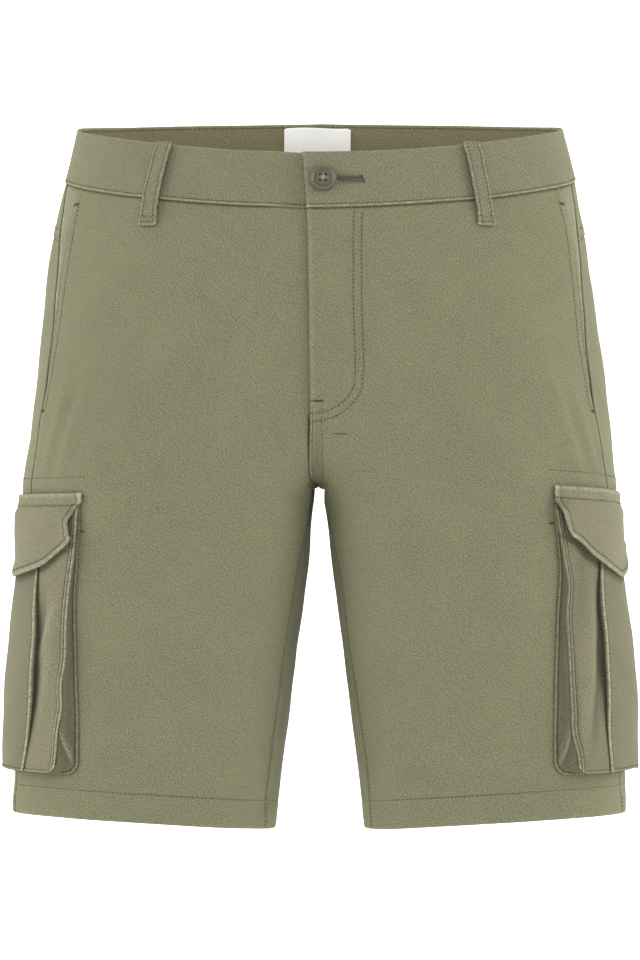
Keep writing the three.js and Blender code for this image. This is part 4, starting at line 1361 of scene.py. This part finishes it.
def flap_rule(sign):
    def rule(u, v):
        s, z, off, down, rim = flap_place(sign, u, v)
        sewn = np.where(down < FLAP_BAND + 3, down - FLAP_BAND, rim - FLAP_ROW)
        # Pale rubbed rim and top edge, with painted shade in the stitched rows, along the band's seam and in the hollow
        # under the band near the front end.
        wear = 0.8 * hump(rim - 1.0, 1.0) * (0.3 + 0.7 * pucker(s, 1.2)) - 0.6 * hump(rim - FLAP_ROW, 0.6)
        wear = wear + 0.3 * hump(rim - 2.9, 1.0) + 0.6 * hump(down - 1.4, 1.4) * (0.4 + 0.6 * pucker(s, 0.4))
        wear = wear - 0.6 * hump(down - FLAP_BAND, 0.7)
        wear = wear + 0.2 * hump(down - 5, 3) * pucker(s * 2.2, 1)
        wear = wear - 0.8 * hump(rim, 4) * hump(down - 12, 3)
        return s, z, off, {"sewn": sewn, "wear": wear}

    return rule


LABEL = {"centre": -4, "width": 48, "height": 23, "below": 3, "thick": 0.8}
LABEL_FACE = BAND_OUT - BAND - 0.5 - LABEL["thick"]


def label_rule(u, v):
    back = lambda z: ends_at(z)[1] - LABEL["centre"]
    ends = lambda z: (back(z) - LABEL["width"] / 2, back(z) + LABEL["width"] / 2)
    height = lambda u, v, s, z: waist_height("top", s, z) - LABEL["below"] - LABEL["height"] * v
    s, z = settle(ends, height, u, v, 20)
    corner = ease(0.9, 1, np.abs(2 * u - 1)) ** 2
    z = z - corner * 1.2 * (1 - v) - 0.35 * np.sin(u * 7) * (1 - v)
    off = LABEL_FACE - 0.5 * np.sin(math.pi * v) * (0.6 + 0.4 * np.sin(u * 9))
    return s, z, off, {"facing": np.full(s.shape, -1.0)}


def make_cloth():
    leg_across = crowd(160, 2.7, 6, 0.75)
    leg_down = np.concatenate([crowd(420, 2.6, 6, 0.8), HEM_TURN])
    back_across = crowd(240, 3.0, 8, 1.0)
    back_down = np.concatenate([crowd(400, 2.8, 6, 0.9), HEM_TURN])
    band_across = crowd(460, 2.6, 4, 0.8)
    band_down = np.concatenate([BAND_TURN, crowd(39, 1.6, 4, 0.6)])
    thirds = [crowd(33, 2.2, 5, 0.4), crowd(63, 2.6, 3.6, 0.4), crowd(36, 2.2, 5, 0.4)]
    across_face = np.concatenate([(third[(k > 0) :] + k) / 3 for k, third in enumerate(thirds)])
    for sign, side in ((1, "left"), (-1, "right")):
        band = "waistband_" + side
        cloth_piece("front_" + side, sign, leg_across, leg_down, front_rule(sign), 1.1, MAIN)
        cloth_piece("back_" + side, sign, back_across, back_down, back_rule(sign), 1.1, MAIN)
        cloth_piece("yoke_" + side, sign, crowd(225, 3, 8, 1), crowd(55, 2.2, 8, 0.8), yoke_rule(sign),
                    PANEL, MAIN)
        cloth_piece(band, sign, band_across, band_down, band_rule(sign), 1.1, BAND_CLOTH)
        cloth_piece("pocket_facing_" + side, sign, crowd(40, 2, 4, 0.8), crowd(150, 3, 3, 1),
                    facing_rule, PANEL, MAIN)
        cloth_piece("cargo_face_" + side, sign, across_face, crowd(180, 2.3, 6, 0.5), face_rule(sign),
                    PANEL, POCKET_CLOTH)
        cloth_piece("cargo_gusset_" + side, sign, crowd(GUSSET_RUN, 1.8, 2, 1), np.concatenate(
                    [np.linspace(0, FLANGE_SHARE, 9), np.linspace(FLANGE_SHARE + 0.04, 1, 17)]), gusset_rule(sign), 1.0,
                    SHADED_GUSSET_CLOTH)
        cloth_piece("cargo_flap_" + side, sign, crowd(150, 2.2, 6, 0.5), crowd(52, 1.3, 6, 0.5),
                    flap_rule(sign), FLAP_THICK, POCKET_CLOTH)
    cloth_piece("fly_shield", 1, crowd(37, 3, 3, 1), crowd(142, 4, 4, 1.5), shield_rule, PANEL, MAIN)
    for name, (sign, top, foot, above) in LOOPS.items():
        cloth_piece(name, sign, crowd(LOOP_WIDTH, 0.8, 1.6, 0.4), crowd(60, 1.2, 8, 0.5),
                    loop_rule((top, foot), above), LOOP_THICK, BAND_CLOTH)
    cloth_piece("label", 1, crowd(48, 2, 3, 0.8), crowd(23, 2, 2, 0.8), label_rule, LABEL["thick"], TAPE)


# Sewing: every stitch is a small bead of thread laid in its groove

STITCH_PITCH = 2.9
STITCH_LENGTH = 1.6
THREAD_RADIUS = 0.34
sewing = {}


def sew(group, sign, s, z, off, pitch=STITCH_PITCH, length=STITCH_LENGTH, radius=THREAD_RADIUS,
        crosswise=False):
    """Lays stitches along a line of arcs and heights at a height off the form."""
    s, z = np.broadcast_arrays(np.asarray(s, float), np.asarray(z, float))
    off = np.broadcast_to(off, s.shape)
    line = lift(sign, s, z, off + 0.1)
    run = np.concatenate([[0], np.cumsum(np.linalg.norm(np.diff(line, axis=0), axis=1))]) / MM
    count = max(int(round(run[-1] / pitch)), 1)
    at = (np.arange(count) + 0.5) * run[-1] / count
    spot = lambda where: np.stack([np.interp(where, run, line[:, k]) for k in range(3)], axis=-1)
    way = spot(at + 0.6) - spot(at - 0.6)
    out = outward(np.interp(at, run, s), np.interp(at, run, z)) * (sign, 1, 1)
    if crosswise:
        way = np.cross(way, out)
    size = np.broadcast_to((length / 2, radius, radius * 0.75), (count, 3))
    sewing.setdefault(group, []).append((spot(at), way, out, size))


def stitch_shape():
    """One stitch: a bead of few faces, 1 across each way from its middle."""
    bm = bmesh.new()
    bmesh.ops.create_uvsphere(bm, u_segments=6, v_segments=4, radius=1, matrix=Matrix.Rotation(
        math.pi / 2, 4, "Y"))
    points = np.array([v.co[:] for v in bm.verts])
    faces = [[v.index for v in face.verts] for face in bm.faces]
    bm.free()
    return points, faces


def make_sewing():
    points, faces = stitch_shape()
    for group, runs in sewing.items():
        middle, way, out, size = (np.concatenate([run[k] for run in runs]) for k in range(4))
        way = way / np.linalg.norm(way, axis=1, keepdims=True)
        aside = np.cross(out, way)
        aside /= np.linalg.norm(aside, axis=1, keepdims=True)
        out = np.cross(way, aside)
        axes = np.stack([way, aside, out], axis=1) * (size * MM)[:, :, None]
        placed = np.einsum("pk,nkc->npc", points, axes) + middle[:, None, :]
        shift = np.arange(len(middle)) * len(points)
        cells = [[i + start for i in face] for start in shift.tolist() for face in faces]
        mesh = bpy.data.meshes.new("stitches_" + group)
        mesh.from_pydata(placed.reshape(-1, 3).tolist(), [], cells)
        mesh.shade_smooth()
        mesh.materials.append({"button_thread": THREAD_PALE, "hole_edge": THREAD_HOLE}.get(group, THREAD))
        piece = bpy.data.objects.new("stitches_" + group, mesh)
        bpy.context.scene.collection.objects.link(piece)
        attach(piece, "root")


def column(low, high, pitch=4.0):
    return np.linspace(low, high, max(int(abs(high - low) / pitch), 2) + 1)


def sew_waist():
    for sign, side in ((1, "left"), (-1, "right")):
        share = column(-0.995 if sign < 0 else -1.0, 0.997, 0.01)
        s, z = band_line(share, "seam", BAND_STITCH)
        if sign > 0:
            z0 = z[0]
            s = np.concatenate([column(band_end(1, z0) + 2.2, s[0], 2)[:-1], s])
            z = np.concatenate([np.full(len(s) - len(z), z0), z])
        sew("waistband_" + side, sign, s, z, band_off(sign, s, z))
        share = column(-0.9, 0.997, 0.01)
        s, z = band_line(share, "top", -2.4)
        inner = BAND_OUT - BAND + 0.3 * hump(2.4 - 16, 12)
        sew("waistband_inside_" + side, sign, s, z, inner - 0.25)


def band_line(share, edge, above):
    z = np.zeros_like(share)
    for _ in range(8):
        first, last = ends_at(z)
        s = np.where(share < 0, -share * first, share * last)
        z = waist_height(edge, s, z) + above
    return s, z


def sew_fly():
    for line in (J_OUTER, J_INNER):
        z = line[:, 1]
        keep = z < waist_height("seam", ends_at(z)[0] + line[:, 0], z) - 1.5
        s, z = (ends_at(z)[0] + line[:, 0])[keep], z[keep]
        sew("fly", 1, s, z, front_off(1, s, z))
    for line, top in (("near", -176), ("far", -176)):
        z = column(top, -228.5, 2)
        s = ends_at(z)[0] + FELL[line](z)
        sew("fly", 1, s, z, front_off(1, s, z), pitch=2.2, length=1.2)
    tack("fly", 1, (ends_at(-173)[0] - 4.4, -173), (ends_at(-173)[0] + 4.9, -173), FLY_LIFT * 0.9, 1.6)
    tack("fly", 1, (ends_at(-195)[0] + 11.5, -195.3), (ends_at(-195)[0] + 21, -195.3), -0.1, 0.8)


def tack(group, sign, start, end, off, width=2.0):
    """A bartack: threads laid side by side across a short line."""
    s, z = np.linspace(start[0], end[0], 8), np.linspace(start[1], end[1], 8)
    sew(group, sign, s, z, off + 0.1, pitch=0.5, length=width, radius=0.3, crosswise=True)


def sew_panels():
    for sign, side in ((1, "left"), (-1, "right")):
        z = column(-34, OPENING_END + 3)
        s = outer_edge(z) - OPENING_STITCH
        sew("front_" + side, sign, s, z, front_off(sign, s, z))
        z = np.concatenate([[-233.5, -236, -239, -243], column(-248, -466, 5)])
        s = inner_edge(sign, z) + INSEAM_STITCH
        sew("front_" + side, sign, s, z, front_off(sign, s, z))
        for start, end, off, piece in (
            (inner_edge(sign, -450.0), outer_edge(-450.0), front_off, "front_"),
            (SIDE["seam"](-450.0) + 1, back_inner(-450.0), None, "back_"),
        ):
            s = column(float(start) + 1, float(end) - 1, 4)
            z = np.full(s.shape, -450.0)
            for _ in range(6):
                z = hem_height(s, z) + HEM_DEPTH
            height = off(sign, s, z) if off else back_off(s, z)
            sew(piece + side, sign, s, z, height)
        z = column(-446, -457, 2)
        s = SIDE["seam"](z) + 2.4
        sew("back_" + side, sign, s, z, back_off(s, z))
        share = column(-0.2, 0.997, 0.01)
        for above in YOKE_STITCH:
            s, z = band_line(share, "yoke", above)
            keep = s > SIDE["seam"](z) + 1
            sew("yoke_" + side, sign, s[keep], z[keep], yoke_off(s[keep], z[keep]))
        for beside in RISE_STITCH:
            if sign < 0:
                break
            z = column(-14, -62, 3)
            s = ends_at(z)[1] - beside
            sew("yoke_left", 1, s, z, yoke_off(s, z))
            z = column(-68, -228, 3)
            s = ends_at(z)[1] - beside
            sew("back_left", 1, s, z, back_off(s, z))
        for height in (-36.0, OPENING_END + 2.0):
            edge = float(outer_edge(height))
            tack("front_" + side, sign, (edge - 5.5, height), (edge - 0.3, height - 0.6), 0.35)


def sew_loops():
    for name, (sign, top, foot, above) in LOOPS.items():
        down = np.linspace(0.05, 0.9, 24)
        s, z = loop_line(down, (top, foot), above)
        for aside in (-3.8, 3.8):
            sew(name, sign, s + aside, z, loop_off(aside, down, s, z))
        at = np.full(7, 0.955)
        s, z = loop_line(at, (top, foot), above)
        line = np.linspace(-4.6, 4.6, 7)
        sew(name, sign, s + line, z, loop_off(line * 0, at, s, z) - 0.15, pitch=0.9, length=1.5,
            radius=0.28, crosswise=True)


def sew_pockets():
    for sign, side in ((1, "left"), (-1, "right")):
        name = "pocket_" + side
        z = column(POCKET_TOP - 3, POCKET_BOTTOM + 9)
        _, (front, back) = pocket_edges(sign, z)
        for row in FACE_ROWS:
            for s in (front + row, back - row):
                sew(name, sign, s, z, face_off(sign, s, z))
        for s in (PLEAT_FRONT[sign]["s"](z) + PLEAT_ROW, z * 0 + PLEAT_BACK - PLEAT_ROW):
            sew(name, sign, s, z, face_off(sign, s, z))
        across = np.linspace(-0.86, 0.86, 34)
        z = face_bottom(across) + FACE_ROWS[0]
        _, (front, back) = pocket_edges(sign, z)
        s = mix(front, back, (across + 1) / 2)
        sew(name, sign, s, z, face_off(sign, s, z))
        run = column(2, GUSSET_RUN - 2, 3)
        s, z, off, _, _ = gusset_place(sign, run, np.full(run.shape, 0.04))
        sew(name, sign, s, z, off)
        along = np.linspace(0.01, 0.99, 60)
        s, _, _, _, _ = flap_place(sign, along, along * 0)
        tall = flap_upper(sign, s) - flap_lower(sign, s)
        for share in ((FLAP_BAND + 0.2) / tall, 1 - FLAP_ROW / tall):
            s, z, off, _, _ = flap_place(sign, along, share)
            sew("flap_" + side, sign, s, z, off)
        down = np.linspace(0.28, 0.86, 14)
        inside = FLAP_ROW / (2 * FLAP_HALF)
        for beside in (inside, 1 - inside):
            s, z, off, _, _ = flap_place(sign, np.full(down.shape, beside), down)
            sew("flap_" + side, sign, s, z, off)
        start, low, high = FLAPS[sign]["line"]
        s = column(start, POCKET_MIDDLE + 74, 5)
        z = mix(low, high, (s + 114) / 91)
        ahead = s < SIDE["seam"](z)
        off = np.where(ahead, front_off(sign, s, z), back_off(s, z))
        sew("flap_" + side, sign, s, z, off)
        start, end, height = POCKET_TACK[sign]
        tack(name, sign, (start, height), (end, height), 0.3, 1.4)


# The tack that holds each pocket's front top corner on the leg: its two ends and its height
POCKET_TACK = {1: (-106, -113.6, -256.3), -1: (-109.5, -113, -261.9)}


def sew_button():
    z = BUTTON["height"]
    s = float(ends_at(z)[0]) + BUTTON["x"]
    off = BAND_OUT + FLY_LIFT + BUTTON["proud"] + BUTTON["thick"] - BUTTON["dish"]
    spread = BUTTON["spread"]
    for way in (1, -1):
        line = np.linspace(-spread, spread, 5)
        sew("button_thread", 1, s + line, z + way * line, off + 0.1, pitch=5.6, length=5.2, radius=0.45)
    hole = np.linspace(14.5, 31, 12) - BUTTON["x"]
    base = band_off(1, s + hole, np.full(12, z))
    for aside in (-1.35, 1.35):
        sew("hole_edge", 1, s + hole, z + aside, base + 0.1, pitch=1.15, length=2.0, radius=0.34,
            crosswise=True)
    sew("hole_edge", 1, s + hole[-1] + np.zeros(5), z + np.linspace(-2.6, 2.6, 5), base[-1] + 0.2,
        pitch=0.6, length=1.9, radius=0.34, crosswise=True)


BUTTON = {"x": 4.2, "height": -21.8, "radius": 9, "thick": 3.1, "rim": 1.9, "dish": 1.0, "hole": 0.9,
          "spread": 2, "proud": 0.8}


def button():
    """A turned disc with a raised rim and four thread holes, on its seat at the fly."""
    radius, thick, rim, dish = (BUTTON[k] for k in ("radius", "thick", "rim", "dish"))
    profile = ((0, 0), (radius - 1, 0), (radius - 0.2, 0.7), (radius, 1.4), (radius - 0.1, 2.2),
               (radius - 0.7, 2.85), (radius - 1.2, thick), (radius - rim, thick - 0.15),
               (radius - rim - 0.5, thick - dish - 0.4), (radius - rim - 1.1, thick - dish - 0.4),
               (radius - rim - 1.6, thick - dish), (0, thick - dish))
    bm = bmesh.new()
    ring = [bm.verts.new((x * MM, 0, h * MM)) for x, h in profile]
    for a, b in zip(ring[:-1], ring[1:]):
        bm.edges.new((a, b))
    bmesh.ops.spin(bm, geom=bm.verts[:] + bm.edges[:], axis=(0, 0, 1), cent=(0, 0, 0), steps=56,
                   angle=2 * math.pi, use_merge=True)
    bmesh.ops.remove_doubles(bm, verts=bm.verts, dist=1e-6)
    bmesh.ops.recalc_face_normals(bm, faces=bm.faces)
    z = BUTTON["height"]
    s = float(ends_at(z)[0]) + BUTTON["x"]
    seat = Vector(lift(1, s, z, BAND_OUT + FLY_LIFT + BUTTON["proud"]))
    out = Vector(outward(s, z))
    place_it = Matrix.Translation(seat) @ out.to_track_quat("Z", "Y").to_matrix().to_4x4()
    mesh = bpy.data.meshes.new("button_disc")
    bm.to_mesh(mesh)
    bm.free()
    disc = bpy.data.objects.new("button_disc", mesh)
    cutter = bmesh.new()
    for dx in (1, -1):
        for dy in (1, -1):
            spot = Matrix.Translation((dx * BUTTON["spread"] * MM, dy * BUTTON["spread"] * MM, 0))
            bmesh.ops.create_cone(cutter, cap_ends=True, segments=16, radius1=BUTTON["hole"] * MM,
                                  radius2=BUTTON["hole"] * MM, depth=12 * MM, matrix=spot)
    drill_mesh = bpy.data.meshes.new("drill")
    cutter.to_mesh(drill_mesh)
    cutter.free()
    drill = bpy.data.objects.new("drill", drill_mesh)
    for made in (disc, drill):
        bpy.context.scene.collection.objects.link(made)
    cut = disc.modifiers.new("holes", "BOOLEAN")
    cut.operation = "DIFFERENCE"
    cut.solver = "EXACT"
    cut.object = drill
    shaped = bpy.data.meshes.new_from_object(disc.evaluated_get(bpy.context.evaluated_depsgraph_get()))
    disc.modifiers.clear()
    disc.data = shaped
    bpy.data.objects.remove(drill)
    shaped.transform(place_it)
    shaped.shade_smooth()
    shaped.materials.clear()
    shaped.materials.append(RESIN)
    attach(disc, "root")
    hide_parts("button")


# Studio

CAMERA_AWAY = 3.6
CAMERA_TURN = math.radians(1.2)
MIDDLE_HEIGHT = -0.2268
PHOTO_TALL = 0.672  # metres of the garment's middle plane that the photo's height takes in
FLOOR = -0.95


def camera():
    data = bpy.data.cameras.new("camera")
    data.sensor_fit = "VERTICAL"
    data.sensor_height = 24
    data.lens = 24 * CAMERA_AWAY / PHOTO_TALL
    data.clip_end = 60
    eye = bpy.data.objects.new("camera", data)
    eye.location = (CAMERA_AWAY * math.sin(CAMERA_TURN), -CAMERA_AWAY * math.cos(CAMERA_TURN), MIDDLE_HEIGHT)
    eye.rotation_euler = (math.pi / 2, 0, CAMERA_TURN)
    bpy.context.scene.collection.objects.link(eye)
    bpy.context.scene.camera = eye


def backdrop():
    """A pale floor that curves up into a wall behind."""
    bm = bmesh.new()
    bmesh.ops.create_grid(bm, x_segments=2, y_segments=40, size=1)
    radius, front, back = 1.6, -5.0, 3.4
    for vertex in bm.verts:
        run = (vertex.co.y + 1) / 2 * 12
        flat = min(run, back - front)
        bend = min(max(run - (back - front), 0), radius * math.pi / 2) / radius
        rise = max(run - (back - front) - radius * math.pi / 2, 0)
        vertex.co = (
            vertex.co.x * 9,
            front + flat + radius * math.sin(bend),
            FLOOR + radius * (1 - math.cos(bend)) + rise,
        )
    mesh = bpy.data.meshes.new("backdrop")
    bm.to_mesh(mesh)
    bm.free()
    mesh.shade_smooth()
    mesh.materials.append(plain_finish("studio_paper_white", 0xFBFBFA, 0.9, 40, 0.004, depth=0.05))
    paper = bpy.data.objects.new("backdrop", mesh)
    bpy.context.scene.collection.objects.link(paper)


def lamp(name, place_at, size, power, aim=(0, 0, MIDDLE_HEIGHT)):
    """A soft white panel, facing the garment's middle if nothing else is given."""
    data = bpy.data.lights.new(name, "AREA")
    data.shape = "RECTANGLE"
    data.size, data.size_y = size
    data.energy = power
    panel = bpy.data.objects.new(name, data)
    panel.location = place_at
    way = Vector(aim) - Vector(place_at)
    panel.rotation_euler = way.to_track_quat("-Z", "Y").to_euler()
    bpy.context.scene.collection.objects.link(panel)


def studio():
    world = bpy.data.worlds.new("studio")
    world.use_nodes = True
    world.node_tree.nodes["Background"].inputs["Color"].default_value = (1, 1, 1, 1)
    world.node_tree.nodes["Background"].inputs["Strength"].default_value = 0.75
    bpy.context.scene.world = world
    lamp("side_left", (-2.4, -0.7, 0.5), (1.4, 2.2), 36)
    lamp("side_right", (2.4, -0.7, 0.5), (1.4, 2.2), 36)
    lamp("front_high", (0.2, -3.0, 1.9), (2.2, 1.4), 30)
    lamp("wall_wash", (0, 1.6, 2.8), (5.0, 1.2), 260, aim=(0, 5.0, -0.4))
    bpy.context.scene.view_settings.view_transform = "Standard"


camera()
backdrop()
studio()
make_cloth()
button()
sew_waist()
sew_fly()
sew_panels()
sew_loops()
sew_pockets()
sew_button()
make_sewing()
